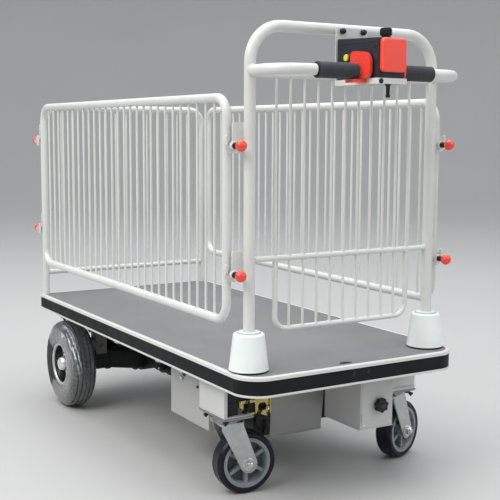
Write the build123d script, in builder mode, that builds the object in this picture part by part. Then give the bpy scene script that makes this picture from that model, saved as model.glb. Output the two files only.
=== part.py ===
from build123d import *
import math
import os

os.makedirs("parts", exist_ok=True)

# ---------------------------------------------------------------------------
# Electric platform cart.  Millimetres, +Z up, +Y away from the handle end.
# The origin lies on the floor, under the middle of the whole cart.
# ---------------------------------------------------------------------------

# deck
X_DECK = -19.7            # x of the deck's centre; the right caster trails outwards
Y_DECK = 41.25            # y of the deck's centre
DECK_L = 1300.0           # along Y
DECK_W = 600.0            # along X
R_NEAR = 62.0             # corner radius at the handle end
R_FAR = 10.0              # corner radius at the far end
Z_SKIRT = 274.0           # lower edge of the tray
Z_BAND0 = 279.5           # bumper band, bottom and top
Z_BAND1 = 311.5
Z_TOP = 320.0             # top of the tray's raised rim
BAND_IN = 1.5             # band face behind the rims
BAND_T = 4.0
SHEET = 3.0
RIM_W = 10.0              # rim around the mat
MAT_T = 3.0
Z_PAN = 316.5             # top of the sheet under the mat
Z_MAT = Z_PAN + MAT_T
Z_UNDER = Z_PAN - SHEET   # underside of the sheet



def level(z):
    """Plane facing up at height z, x measured from the deck's middle."""
    return Plane((X_DECK, 0, z), x_dir=(1, 0, 0), z_dir=(0, 0, 1))


def across(x):
    """Plane facing +X at distance x from the deck's middle; local x is y, local y is z."""
    return Plane((X_DECK + x, 0, 0), x_dir=(0, 1, 0), z_dir=(1, 0, 0))


def facing(y):
    """Plane facing the handle end; local x from the deck's middle, local y is z."""
    return Plane((X_DECK, y, 0), x_dir=(1, 0, 0), z_dir=(0, -1, 0))


def at(x, y, z):
    """Point with x measured from the deck's middle."""
    return (X_DECK + x, y, z)


Y_NEAR_EDGE = Y_DECK - DECK_L / 2
Y_FAR_EDGE = Y_DECK + DECK_L / 2

# handle
Y_POST = Y_DECK - 575.0
X_POST = 251.7
R_POST = 12.7
Z_HOOP = 1065.0
COLLAR_FOOT = 36.5        # collars around the posts
COLLAR_R0 = 44.0
COLLAR_R1 = 35.0
Z_COLLAR0 = 323.5
Z_COLLAR1 = 404.0
R_HOOP = 78.0
R_CROSS = 6.3
Z_CROSS_UP = 961.0
Z_CROSS_LOW = 564.0
ROD_R = 3.0
ROD_PITCH = 37.0
X_LOOP = 185.0
Z_LOOP = 405.0
R_LOOP = 30.0
LOOP_R = 6.0
Y_BAR = Y_DECK - 690.0
Z_BAR = 968.0
R_BAR = 12.0
R_BAR_BEND = 70.0
GRIP_R = 17.0
# x of the inner end and of the outer end
GRIPS = ((-71.0, -161.0), (60.0, 147.5))

# control head
BOX_X0, BOX_X1 = -37.0, 35.0
Y_BOX0 = Y_DECK - 736.0   # front, towards the walker
Y_PLATE = Y_POST - R_POST - 3.0
Z_TRAY = 941.0            # lower edge of the tray's lip
Z_BOX0 = 953.0
Z_BOX1 = 1043.0           # at the hoop; the lid falls 6 mm towards the walker
PAD_T = 12.0

# side gates
X_GATE = 292.5
GATE_R = 10.0
Y_GATE0 = Y_DECK - 548.0
Y_GATE1 = Y_DECK + 602.0
Z_GATE0 = 428.5
Z_GATE1 = 912.0
R_GATE = 42.0
GATE_RODS = 27
GATE_ROD0 = Y_DECK - 495.0
GATE_ROD_PITCH = 40.31
X_PIN = 304.0             # upright pins on the gates
PIN_R = 4.0
# end, y of the pin, lower end and upper end from the latch's height,
# y and length of its lug, heights of the lug
GATE_PINS = (
    ("near", Y_DECK - 566.0, 3.0, 22.0, Y_DECK - 559.0, 14.0, 9.0, 15.0),
    ("far", Y_DECK + 619.0, -12.5, 14.5, Y_DECK + 614.0, 10.0, 5.0, 11.0),
)
Z_LATCH = (534.0, 810.0)

# far gate
Y_FARGATE = Y_DECK + 632.0
X_FARLEG = 283.0
R_FARGATE = 50.0
Z_FARRAIL = 391.0

# casters
X_KING = 240.0
Y_KING = Y_DECK - 456.0
TRAIL = 44.6
CASTER_R = 73.5
CASTER_W = 44.0
R_TREAD_IN = 59.0         # where the tread meets the rim
Z_PLATE = 196.0
# side, x of the kingpin, trailing direction in degrees from +X
CASTERS = (("left", -X_KING, -6.8), ("right", X_KING, 19.2))

# rear wheels
X_REAR = 275.0
Y_REAR = Y_DECK + 446.0
REAR_R = 132.0
REAR_W = 79.0
R_RIM = 64.0


# ---------------------------------------------------------------------------
# deck
# ---------------------------------------------------------------------------
def deck_outline(inset):
    """Closed outline of the deck, round at the handle end, square at the far end."""
    w = DECK_W / 2 - inset
    y0 = Y_NEAR_EDGE + inset
    y1 = Y_FAR_EDGE - inset
    rn = R_NEAR - inset
    rf = max(R_FAR - inset, 1.5)
    with BuildLine() as outline:
        Line((-w, y1 - rf), (-w, y0 + rn))
        RadiusArc((-w, y0 + rn), (-w + rn, y0), -rn)
        Line((-w + rn, y0), (w - rn, y0))
        RadiusArc((w - rn, y0), (w, y0 + rn), -rn)
        Line((w, y0 + rn), (w, y1 - rf))
        RadiusArc((w, y1 - rf), (w - rf, y1), -rf)
        Line((w - rf, y1), (-w + rf, y1))
        RadiusArc((-w + rf, y1), (-w, y1 - rf), -rf)
    return outline.line


with BuildPart() as deck_tray:
    # full block, later hollowed from below and from above
    with BuildSketch(level(Z_SKIRT)):
        with BuildLine():
            add(deck_outline(0.0))
        make_face()
    extrude(amount=Z_TOP - Z_SKIRT)
    # rolled rims, above and below the band
    rims = deck_tray.faces().filter_by(Axis.Z)
    fillet(rims.sort_by(Axis.Z)[-1].edges(), 2.6)
    fillet(deck_tray.faces().filter_by(Axis.Z).sort_by(Axis.Z)[0].edges(), 1.6)
    # hollow underneath
    with BuildSketch(level(Z_SKIRT)):
        with BuildLine():
            add(deck_outline(BAND_IN + BAND_T + SHEET))
        make_face()
    extrude(amount=Z_UNDER - Z_SKIRT, mode=Mode.SUBTRACT)
    # recess for the mat
    with BuildSketch(level(Z_PAN)):
        with BuildLine():
            add(deck_outline(RIM_W))
        make_face()
    extrude(amount=Z_TOP - Z_PAN, mode=Mode.SUBTRACT)
    # groove that seats the bumper band
    with BuildSketch(level(Z_BAND0)):
        with BuildLine():
            add(deck_outline(-5.0))
        make_face()
        with BuildLine():
            add(deck_outline(BAND_IN + BAND_T))
        make_face(mode=Mode.SUBTRACT)
    extrude(amount=Z_BAND1 - Z_BAND0, mode=Mode.SUBTRACT)
    # notches for the far gate's legs
    with Locations(at(-X_FARLEG, Y_FARGATE, Z_PAN + 10), at(X_FARLEG, Y_FARGATE, Z_PAN + 10)):
        Cylinder(GATE_R + 0.3, 20, mode=Mode.SUBTRACT)
deck_tray.part.label = "deck_tray"
export_step(deck_tray.part, "parts/deck_tray.step")

with BuildPart() as bumper_band:
    with BuildSketch(level(Z_BAND0)):
        with BuildLine():
            add(deck_outline(BAND_IN))
        make_face()
        with BuildLine():
            add(deck_outline(BAND_IN + BAND_T))
        make_face(mode=Mode.SUBTRACT)
    extrude(amount=Z_BAND1 - Z_BAND0)
bumper_band.part.label = "bumper_band"
export_step(bumper_band.part, "parts/bumper_band.step")

with BuildPart() as deck_mat:
    with BuildSketch(level(Z_PAN)):
        with BuildLine():
            add(deck_outline(RIM_W))
        make_face()
        # round openings at the posts, notches at the far gate's legs
        with Locations((-X_POST, Y_POST), (X_POST, Y_POST)):
            Circle(COLLAR_FOOT + 0.5, mode=Mode.SUBTRACT)
        with Locations((-X_FARLEG, Y_FARGATE), (X_FARLEG, Y_FARGATE)):
            Circle(GATE_R + 1.2, mode=Mode.SUBTRACT)
    extrude(amount=MAT_T)
deck_mat.part.label = "deck_mat"
export_step(deck_mat.part, "parts/deck_mat.step")

# cross members under the sheet: y of the middle, width along Y, depth
RIBS = (
    (Y_DECK - 80.0, 40.0, 30.0),
    (Y_DECK + 95.0, 40.0, 30.0),
    (Y_DECK + 262.0, 40.0, 30.0),
    (Y_DECK + 590.0, 40.0, 30.0),
)
RIB_HALF = DECK_W / 2 - BAND_IN - BAND_T - SHEET
with BuildPart() as deck_ribs:
    for rib_y, rib_w, rib_d in RIBS:
        with BuildSketch(level(Z_UNDER - rib_d)):
            with Locations((0, rib_y)):
                Rectangle(2 * RIB_HALF, rib_w)
        extrude(amount=rib_d)
        # open channel section
        with BuildSketch(level(Z_UNDER - rib_d + 4)):
            with Locations((0, rib_y)):
                Rectangle(2 * RIB_HALF, rib_w - 8)
        extrude(amount=rib_d - 4, mode=Mode.SUBTRACT)
deck_ribs.part.label = "deck_ribs"
export_step(deck_ribs.part, "parts/deck_ribs.step")

# ---------------------------------------------------------------------------
# handle
# ---------------------------------------------------------------------------
with BuildPart() as handle_hoop:
    with BuildLine() as hoop_path:
        FilletPolyline(
            at(-X_POST, Y_POST, Z_PAN), at(-X_POST, Y_POST, Z_HOOP),
            at(X_POST, Y_POST, Z_HOOP), at(X_POST, Y_POST, Z_PAN), radius=R_HOOP)
    with BuildSketch(level(Z_PAN)):
        with Locations((-X_POST, Y_POST)):
            Circle(R_POST)
            Circle(R_POST - 2.0, mode=Mode.SUBTRACT)
    sweep(path=hoop_path.line)
handle_hoop.part.label = "handle_hoop"
export_step(handle_hoop.part, "parts/handle_hoop.step")

with BuildPart() as post_collars:
    # a narrow foot in the mat's opening, a wide cone above it
    for sx in (-1, 1):
        with BuildSketch(Plane(at(sx * X_POST, Y_POST, 0), x_dir=(1, 0, 0), z_dir=(0, -1, 0))):
            with BuildLine():
                Polyline(
                    (R_POST, Z_PAN), (COLLAR_FOOT, Z_PAN), (COLLAR_FOOT, Z_COLLAR0),
                    (COLLAR_R0, Z_COLLAR0), (COLLAR_R0, Z_COLLAR0 + 2.5),
                    (COLLAR_R1, Z_COLLAR1 - 3), (COLLAR_R1 - 2.5, Z_COLLAR1),
                    (R_POST, Z_COLLAR1), close=True)
            make_face()
        revolve(axis=Axis(at(sx * X_POST, Y_POST, 0), (0, 0, 1)))
post_collars.part.label = "post_collars"
export_step(post_collars.part, "parts/post_collars.step")

with BuildPart() as handle_grille:
    # two crossbars between the posts
    for bar_z in (Z_CROSS_UP, Z_CROSS_LOW):
        with BuildSketch(across(-X_POST + 4)):
            with Locations((Y_POST, bar_z)):
                Circle(R_CROSS)
        extrude(amount=2 * (X_POST - 4))
    # loop below the lower crossbar
    with BuildLine() as loop_path:
        FilletPolyline(
            at(-X_LOOP, Y_POST, Z_CROSS_LOW), at(-X_LOOP, Y_POST, Z_LOOP),
            at(X_LOOP, Y_POST, Z_LOOP), at(X_LOOP, Y_POST, Z_CROSS_LOW), radius=R_LOOP)
    with BuildSketch(level(Z_CROSS_LOW)):
        with Locations((-X_LOOP, Y_POST)):
            Circle(LOOP_R)
    sweep(path=loop_path.line)
    # upright rods: eleven above, nine in the loop
    for count, rod_z0, rod_z1 in ((11, Z_CROSS_LOW, Z_CROSS_UP), (9, Z_LOOP, Z_CROSS_LOW)):
        with BuildSketch(level(rod_z0)):
            with Locations((0, Y_POST)):
                with GridLocations(ROD_PITCH, 1, count, 1):
                    Circle(ROD_R)
        extrude(amount=rod_z1 - rod_z0)
    # the bars' ends are cut to the posts
    with Locations(at(-X_POST, Y_POST, 700), at(X_POST, Y_POST, 700)):
        Cylinder(R_POST, 700, mode=Mode.SUBTRACT)
handle_grille.part.label = "handle_grille"
export_step(handle_grille.part, "parts/handle_grille.step")

with BuildPart() as handlebar:
    with BuildLine() as bar_path:
        FilletPolyline(
            at(-X_POST, Y_POST - 4, Z_BAR), at(-X_POST, Y_BAR, Z_BAR),
            at(X_POST, Y_BAR, Z_BAR), at(X_POST, Y_POST - 4, Z_BAR), radius=R_BAR_BEND)
    with BuildSketch(Plane(at(-X_POST, Y_POST - 4, Z_BAR), x_dir=(1, 0, 0), z_dir=(0, -1, 0))):
        Circle(R_BAR)
    sweep(path=bar_path.line)
    with Locations(at(-X_POST, Y_POST, Z_BAR), at(X_POST, Y_POST, Z_BAR)):
        Cylinder(R_POST, 80, mode=Mode.SUBTRACT)
handlebar.part.label = "handlebar"
export_step(handlebar.part, "parts/handlebar.step")

with BuildPart() as grips:
    for grip_in, grip_out in GRIPS:
        with BuildSketch(across(grip_in)):
            with Locations((Y_BAR, Z_BAR)):
                Circle(GRIP_R)
                Circle(R_BAR, mode=Mode.SUBTRACT)
        extrude(amount=grip_out - grip_in)
    fillet(grips.edges().filter_by(GeomType.CIRCLE).filter_by(lambda e: e.radius > 15), 3.5)
grips.part.label = "grips"
export_step(grips.part, "parts/grips.step")

# ---------------------------------------------------------------------------
# control head
# ---------------------------------------------------------------------------
with BuildPart() as control_bracket:
    # tray under the box, with a lip turned down
    with BuildSketch(level(Z_TRAY)):
        with Locations((1.5, (Y_PLATE + Y_BOX0 - 4) / 2)):
            Rectangle(83, Y_PLATE - Y_BOX0 + 4)
    extrude(amount=Z_BOX0 - Z_TRAY)
    fillet(control_bracket.edges().filter_by(Axis.Z).group_by(Axis.Y)[0], 9.0)
    with BuildSketch(level(Z_TRAY)):
        with Locations((1.5, (Y_PLATE + Y_BOX0 - 4) / 2)):
            RectangleRounded(78, Y_PLATE - Y_BOX0 - 1, 6)
    extrude(amount=Z_BOX0 - Z_TRAY - 4, mode=Mode.SUBTRACT)
    # plate against the hoop
    with BuildSketch(facing(Y_PLATE)):
        with Locations((3, (Z_TRAY + 1068.5) / 2)):
            Rectangle(86, 1068.5 - Z_TRAY)
    extrude(amount=-3.0)
    # two clamp bolts through the plate at the hoop
    for bolt_x in (-24.0, 33.0):
        with BuildSketch(facing(Y_PLATE)):
            with Locations((bolt_x, 1061.0)):
                RegularPolygon(6.0, 6)
        extrude(amount=6.0)
control_bracket.part.label = "control_bracket"
export_step(control_bracket.part, "parts/control_bracket.step")

with BuildPart() as control_box:
    with BuildSketch(across(BOX_X0)):
        with BuildLine():
            Polyline(
                (Y_PLATE, Z_BOX0), (Y_BOX0, Z_BOX0), (Y_BOX0, Z_BOX1 - 6),
                (Y_PLATE, Z_BOX1), close=True)
        make_face()
    extrude(amount=BOX_X1 - BOX_X0)
    fillet(control_box.edges().filter_by(Axis.Z), 4.0)
    fillet(control_box.faces().sort_by(Axis.Z)[-1].edges(), 2.0)
    # the bar passes through
    with Locations(Location(at(0, Y_BAR, Z_BAR), (0, 90, 0))):
        Cylinder(R_BAR, 200, mode=Mode.SUBTRACT)
control_box.part.label = "control_box"
export_step(control_box.part, "parts/control_box.step")

with BuildPart() as emergency_pad:
    with BuildSketch(facing(Y_BOX0)):
        with Locations((-0.75, 1000.5)):
            RectangleRounded(63.5, 71, 9)
    extrude(amount=PAD_T)
    fillet(emergency_pad.faces().sort_by(Axis.Y)[0].edges(), 4.0)
emergency_pad.part.label = "emergency_pad"
export_step(emergency_pad.part, "parts/emergency_pad.step")

# thumb paddles, one each side of the box, on the bar
# side, x of the inner face, x of the outer face, x of the lip's outer end
PADDLES = ((-1, 41.0, 58.0, 76.0), (1, 44.0, 57.0, 70.0))
with BuildPart() as throttle_paddles:
    for sx, pad_in, pad_out, lip_out in PADDLES:
        # rounded outline, seen from the side
        with BuildSketch(across(sx * pad_in)):
            with Locations((Y_DECK - 678, 999.0)):
                Circle(11)
            with Locations((Y_DECK - 697, 983.0)):
                Circle(26)
            with Locations((Y_DECK - 706, 969.0)):
                Circle(17)
            with Locations((Y_DECK - 676, 962.0)):
                Circle(9)
            make_hull()
        extrude(amount=sx * (pad_out - pad_in))
        # thumb face, sloping to the box
        with BuildSketch(level(930.0)):
            with BuildLine():
                Polyline(
                    (sx * (pad_in + 5), Y_DECK - 730), (sx * (pad_out + 3), Y_DECK - 685),
                    (sx * (pad_out + 20), Y_DECK - 700), (sx * (pad_out + 20), Y_DECK - 740),
                    (sx * (pad_in + 5), Y_DECK - 740), close=True)
            make_face()
        extrude(amount=110.0, mode=Mode.SUBTRACT)
        # lip that reaches under the grip
        with BuildSketch(level(943.5)):
            with Locations((sx * (pad_in + 2 + lip_out) / 2, Y_DECK - 689)):
                Rectangle(lip_out - pad_in - 2, 28)
        extrude(amount=7.0)
        with BuildSketch(level(948.0)):
            with Locations((sx * (pad_in + 7), Y_DECK - 689)):
                Rectangle(8, 24)
        extrude(amount=10.0)
    with Locations(Location(at(0, Y_BAR, Z_BAR), (0, 90, 0))):
        Cylinder(R_BAR, 300, mode=Mode.SUBTRACT)
throttle_paddles.part.label = "throttle_paddles"
export_step(throttle_paddles.part, "parts/throttle_paddles.step")

Z_LID = Z_BOX1 - 4.5      # top of the box under the knob
with BuildPart() as key_knob:
    with BuildSketch(level(Z_LID)):
        with Locations((1.6, Y_DECK - 712)):
            Circle(9)
    extrude(amount=5)
    with BuildSketch(level(Z_LID + 5)):
        with Locations((1.6, Y_DECK - 712)):
            Circle(12.0)
    extrude(amount=15.5)
    fillet(key_knob.faces().sort_by(Axis.Z)[-1].edges(), 1.5)
key_knob.part.label = "key_knob"
export_step(key_knob.part, "parts/key_knob.step")

with BuildPart() as indicator_button:
    with BuildSketch(across(BOX_X0)):
        with Locations((Y_DECK - 629, 1000)):
            Circle(7.5)
    extrude(amount=-6)
    fillet(indicator_button.faces().sort_by(Axis.X)[0].edges(), 2.0)
indicator_button.part.label = "indicator_button"
export_step(indicator_button.part, "parts/indicator_button.step")

# short lever that hangs under the tray
with BuildPart() as selector_lever:
    with BuildSketch(level(Z_BOX0 - 4)):
        with Locations((15.6, Y_DECK - 705)):
            Circle(5.2)
    with BuildSketch(level(914.0)):
        with Locations((15.6, Y_DECK - 705)):
            Circle(3.8)
    loft()
selector_lever.part.label = "selector_lever"
export_step(selector_lever.part, "parts/selector_lever.step")

# ---------------------------------------------------------------------------
# side gates
# ---------------------------------------------------------------------------
for side, sx in (("left", -1), ("right", 1)):
    with BuildPart() as gate_frame:
        with BuildLine() as gate_path:
            FilletPolyline(
                at(sx * X_GATE, Y_GATE0, Z_GATE0), at(sx * X_GATE, Y_GATE1, Z_GATE0),
                at(sx * X_GATE, Y_GATE1, Z_GATE1), at(sx * X_GATE, Y_GATE0, Z_GATE1),
                radius=R_GATE, close=True)
        with BuildSketch(Plane(origin=gate_path.line @ 0, z_dir=gate_path.line % 0)):
            Circle(GATE_R)
        sweep(path=gate_path.line)
        # upright pins on short lugs, two at each end
        for end, y_pin, pin_z0, pin_z1, y_lug, lug_l, lug_z0, lug_z1 in GATE_PINS:
            for z_pin in Z_LATCH:
                with BuildSketch(level(z_pin + pin_z0)):
                    with Locations((sx * X_PIN, y_pin)):
                        Circle(PIN_R)
                extrude(amount=pin_z1 - pin_z0)
                with BuildSketch(level(z_pin + lug_z0)):
                    with Locations((sx * (X_PIN - 3.5), y_lug)):
                        Rectangle(7.0, lug_l)
                extrude(amount=lug_z1 - lug_z0)
    gate_frame.part.label = f"gate_{side}_frame"
    export_step(gate_frame.part, f"parts/gate_{side}_frame.step")

    with BuildPart() as gate_bars:
        with BuildSketch(level(Z_GATE0)):
            for k in range(GATE_RODS):
                with Locations((sx * X_GATE, GATE_ROD0 + k * GATE_ROD_PITCH)):
                    Circle(ROD_R)
        extrude(amount=Z_GATE1 - Z_GATE0)
        # rod ends are cut to the rails
        with Locations(Location(at(sx * X_GATE, Y_DECK, Z_GATE0), (90, 0, 0)),
                       Location(at(sx * X_GATE, Y_DECK, Z_GATE1), (90, 0, 0))):
            Cylinder(GATE_R, 1200, mode=Mode.SUBTRACT)
    gate_bars.part.label = f"gate_{side}_bars"
    export_step(gate_bars.part, f"parts/gate_{side}_bars.step")

# ---------------------------------------------------------------------------
# far gate, fixed in the deck
# ---------------------------------------------------------------------------
with BuildPart() as far_gate_frame:
    with BuildLine() as far_path:
        FilletPolyline(
            at(-X_FARLEG, Y_FARGATE, Z_PAN), at(-X_FARLEG, Y_FARGATE, Z_GATE1),
            at(X_FARLEG, Y_FARGATE, Z_GATE1), at(X_FARLEG, Y_FARGATE, Z_PAN), radius=R_FARGATE)
    with BuildSketch(level(Z_PAN)):
        with Locations((-X_FARLEG, Y_FARGATE)):
            Circle(GATE_R)
    sweep(path=far_path.line)
far_gate_frame.part.label = "far_gate_frame"
export_step(far_gate_frame.part, "parts/far_gate_frame.step")

with BuildPart() as far_gate_grille:
    with BuildSketch(across(-X_FARLEG)):
        with Locations((Y_FARGATE, Z_FARRAIL)):
            Circle(8.0)
    extrude(amount=2 * X_FARLEG)
    with BuildSketch(level(Z_FARRAIL)):
        with Locations((0, Y_FARGATE)):
            with GridLocations(37.5, 1, 13, 1):
                Circle(ROD_R)
    extrude(amount=Z_GATE1 - Z_FARRAIL)
    with Locations(at(-X_FARLEG, Y_FARGATE, Z_FARRAIL), at(X_FARLEG, Y_FARGATE, Z_FARRAIL)):
        Cylinder(GATE_R, 60, mode=Mode.SUBTRACT)
    with Locations(Location(at(0, Y_FARGATE, Z_GATE1), (0, 90, 0))):
        Cylinder(GATE_R, 700, mode=Mode.SUBTRACT)
far_gate_grille.part.label = "far_gate_grille"
export_step(far_gate_grille.part, "parts/far_gate_grille.step")

# ---------------------------------------------------------------------------
# latches: a plate on each post and leg, a sprung plunger in it, a ball on that
# ---------------------------------------------------------------------------
# end, inner x of the plate, x of its outer edge, x of the plunger, y of its inner face,
# how far the nose reaches past it, direction outwards, tube it is cut to (x, y, radius),
# radius of the lobe, radius of the plunger, distance of the ball from the inner face
ENDS = (
    ("near", X_POST, 289.0, 288.5, Y_DECK - 564.0, 1.0, -1, X_POST, Y_POST, R_POST, 16.5, 6.0, 38.0),
    ("far", X_FARLEG, 298.0, 299.0, Y_DECK + 625.0, 0.5, 1, X_FARLEG, Y_FARGATE, GATE_R, 13.0, 5.5, 25.5),
)
PLATE_T = 4.0
with BuildPart() as latch_plates:
    for end, x_in, step, x_pl, y_in, nose, sy, tube_x, tube_y, tube_r, lobe, body_r, ball_y in ENDS:
        for sx in (-1, 1):
            for z0 in Z_LATCH:
                with BuildSketch(facing(y_in)):
                    # round lobe below the plunger
                    with Locations((sx * (x_pl + 2.5), z0)):
                        Circle(lobe)
                    with Locations((sx * (step + 20), z0 + 22)):
                        Rectangle(40, 40, mode=Mode.SUBTRACT)
                    # upright plate
                    with BuildLine():
                        FilletPolyline(
                            (sx * x_in, z0 - lobe), (sx * x_in, z0 + 50), (sx * step, z0 + 50),
                            (sx * step, z0 - lobe), radius=4.0, close=True)
                    make_face()
                extrude(amount=-sy * PLATE_T)
                if end == "far":
                    # shelf under the gate's pin
                    with BuildSketch(level(z0 - 16)):
                        with Locations((sx * 304, y_in - sy * 5.5)):
                            Rectangle(11, 11)
                    extrude(amount=3.0)
                # passage for the plunger
                with Locations(Location(at(sx * x_pl, y_in, z0), (90, 0, 0))):
                    Cylinder(3.3, 30, mode=Mode.SUBTRACT)
    for end, x_in, step, x_pl, y_in, nose, sy, tube_x, tube_y, tube_r, lobe, body_r, ball_y in ENDS:
        with Locations(at(-tube_x, tube_y, 680), at(tube_x, tube_y, 680)):
            Cylinder(tube_r, 700, mode=Mode.SUBTRACT)
latch_plates.part.label = "latch_plates"
export_step(latch_plates.part, "parts/latch_plates.step")

with BuildPart() as latch_plungers:
    for end, x_in, step, x_pl, y_in, nose, sy, tube_x, tube_y, tube_r, lobe, body_r, ball_y in ENDS:
        for sx in (-1, 1):
            for z0 in Z_LATCH:
                # nose, body and neck, from the gate outwards
                for y_from, y_to, r in ((-nose, PLATE_T, 3.0), (PLATE_T, ball_y - 11.0, body_r),
                                        (ball_y - 11.0, ball_y - 4.0, 4.0)):
                    with BuildSketch(facing(y_in + sy * y_from)):
                        with Locations((sx * x_pl, z0)):
                            Circle(r)
                    extrude(amount=-sy * (y_to - y_from))
latch_plungers.part.label = "latch_plungers"
export_step(latch_plungers.part, "parts/latch_plungers.step")

BALL_R = 12.5
with BuildPart() as ball_knobs:
    for end, x_in, step, x_pl, y_in, nose, sy, tube_x, tube_y, tube_r, lobe, body_r, ball_y in ENDS:
        for sx in (-1, 1):
            for z0 in Z_LATCH:
                with Locations(at(sx * x_pl, y_in + sy * ball_y, z0)):
                    Sphere(BALL_R)
                # flat face towards the plunger, and its bore
                for y_from, y_to, r in ((-16.0, -11.0, 9.0), (-16.0, -4.0, 4.0)):
                    with BuildSketch(facing(y_in + sy * (ball_y + y_from))):
                        with Locations((sx * x_pl, z0)):
                            Circle(r)
                    extrude(amount=-sy * (y_to - y_from), mode=Mode.SUBTRACT)
ball_knobs.part.label = "ball_knobs"
export_step(ball_knobs.part, "parts/ball_knobs.step")

# ---------------------------------------------------------------------------
# casters
# ---------------------------------------------------------------------------
PLATE_X, PLATE_Y = 72.0, 114.0
MOUNT_Y0 = Y_DECK - 512.0
MOUNT_Y1 = Y_DECK - 394.0
MOUNT_HALF = 37.0
with BuildPart() as caster_mounts:
    for sx in (-1, 1):
        # folded box under the deck
        with BuildSketch(level(Z_PLATE)):
            with Locations((sx * X_KING, (MOUNT_Y0 + MOUNT_Y1) / 2)):
                Rectangle(2 * MOUNT_HALF, MOUNT_Y1 - MOUNT_Y0)
        extrude(amount=Z_UNDER - Z_PLATE)
        with BuildSketch(level(Z_PLATE + 3)):
            with Locations((sx * X_KING, (MOUNT_Y0 + MOUNT_Y1) / 2)):
                Rectangle(2 * MOUNT_HALF - 6, MOUNT_Y1 - MOUNT_Y0 - 6)
        extrude(amount=Z_UNDER - Z_PLATE - 3, mode=Mode.SUBTRACT)
        # bolt holes of the caster
        with Locations(at(sx * X_KING, Y_KING, Z_PLATE + 1.5)):
            with GridLocations(50, 84, 2, 2):
                Cylinder(4.5, 6, mode=Mode.SUBTRACT)
    # the left one is open to the handle end and to the middle, with a narrow flange
    with BuildSketch(level(Z_PLATE + 3)):
        with Locations((-X_KING + 4, (MOUNT_Y0 + MOUNT_Y1) / 2 - 10)):
            Rectangle(2 * MOUNT_HALF - 8, MOUNT_Y1 - MOUNT_Y0 + 14)
    extrude(amount=Z_UNDER - Z_PLATE - 3, mode=Mode.SUBTRACT)
    # the right one has a slot at the top of its front
    with BuildSketch(level(Z_UNDER - 9)):
        with Locations((X_KING - 6, MOUNT_Y0)):
            Rectangle(16, 10)
    extrude(amount=9, mode=Mode.SUBTRACT)
caster_mounts.part.label = "caster_mounts"
export_step(caster_mounts.part, "parts/caster_mounts.step")

with BuildPart() as caster_plates:
    for sx in (-1, 1):
        with BuildSketch(level(Z_PLATE - 4)):
            with Locations((sx * X_KING, Y_KING)):
                RectangleRounded(PLATE_X, PLATE_Y, 6)
        extrude(amount=4)
        # pressed race and kingpin
        with BuildSketch(level(Z_PLATE - 11)):
            with Locations((sx * X_KING, Y_KING)):
                Circle(32)
        extrude(amount=7)
        with BuildSketch(level(162.0)):
            with Locations((sx * X_KING, Y_KING)):
                Circle(6)
        extrude(amount=Z_PLATE - 11 - 162.0)
        with BuildSketch(level(160.0)):
            with Locations((sx * X_KING, Y_KING)):
                RegularPolygon(10, 6)
        extrude(amount=7)
        # four bolts into the mount
        with BuildSketch(level(Z_PLATE - 10)):
            with Locations((sx * X_KING, Y_KING)):
                with GridLocations(50, 84, 2, 2):
                    RegularPolygon(7, 6)
        extrude(amount=6)
        with BuildSketch(level(Z_PLATE)):
            with Locations((sx * X_KING, Y_KING)):
                with GridLocations(50, 84, 2, 2):
                    Circle(4.4)
        extrude(amount=8)
caster_plates.part.label = "caster_plates"
export_step(caster_plates.part, "parts/caster_plates.step")

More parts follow.
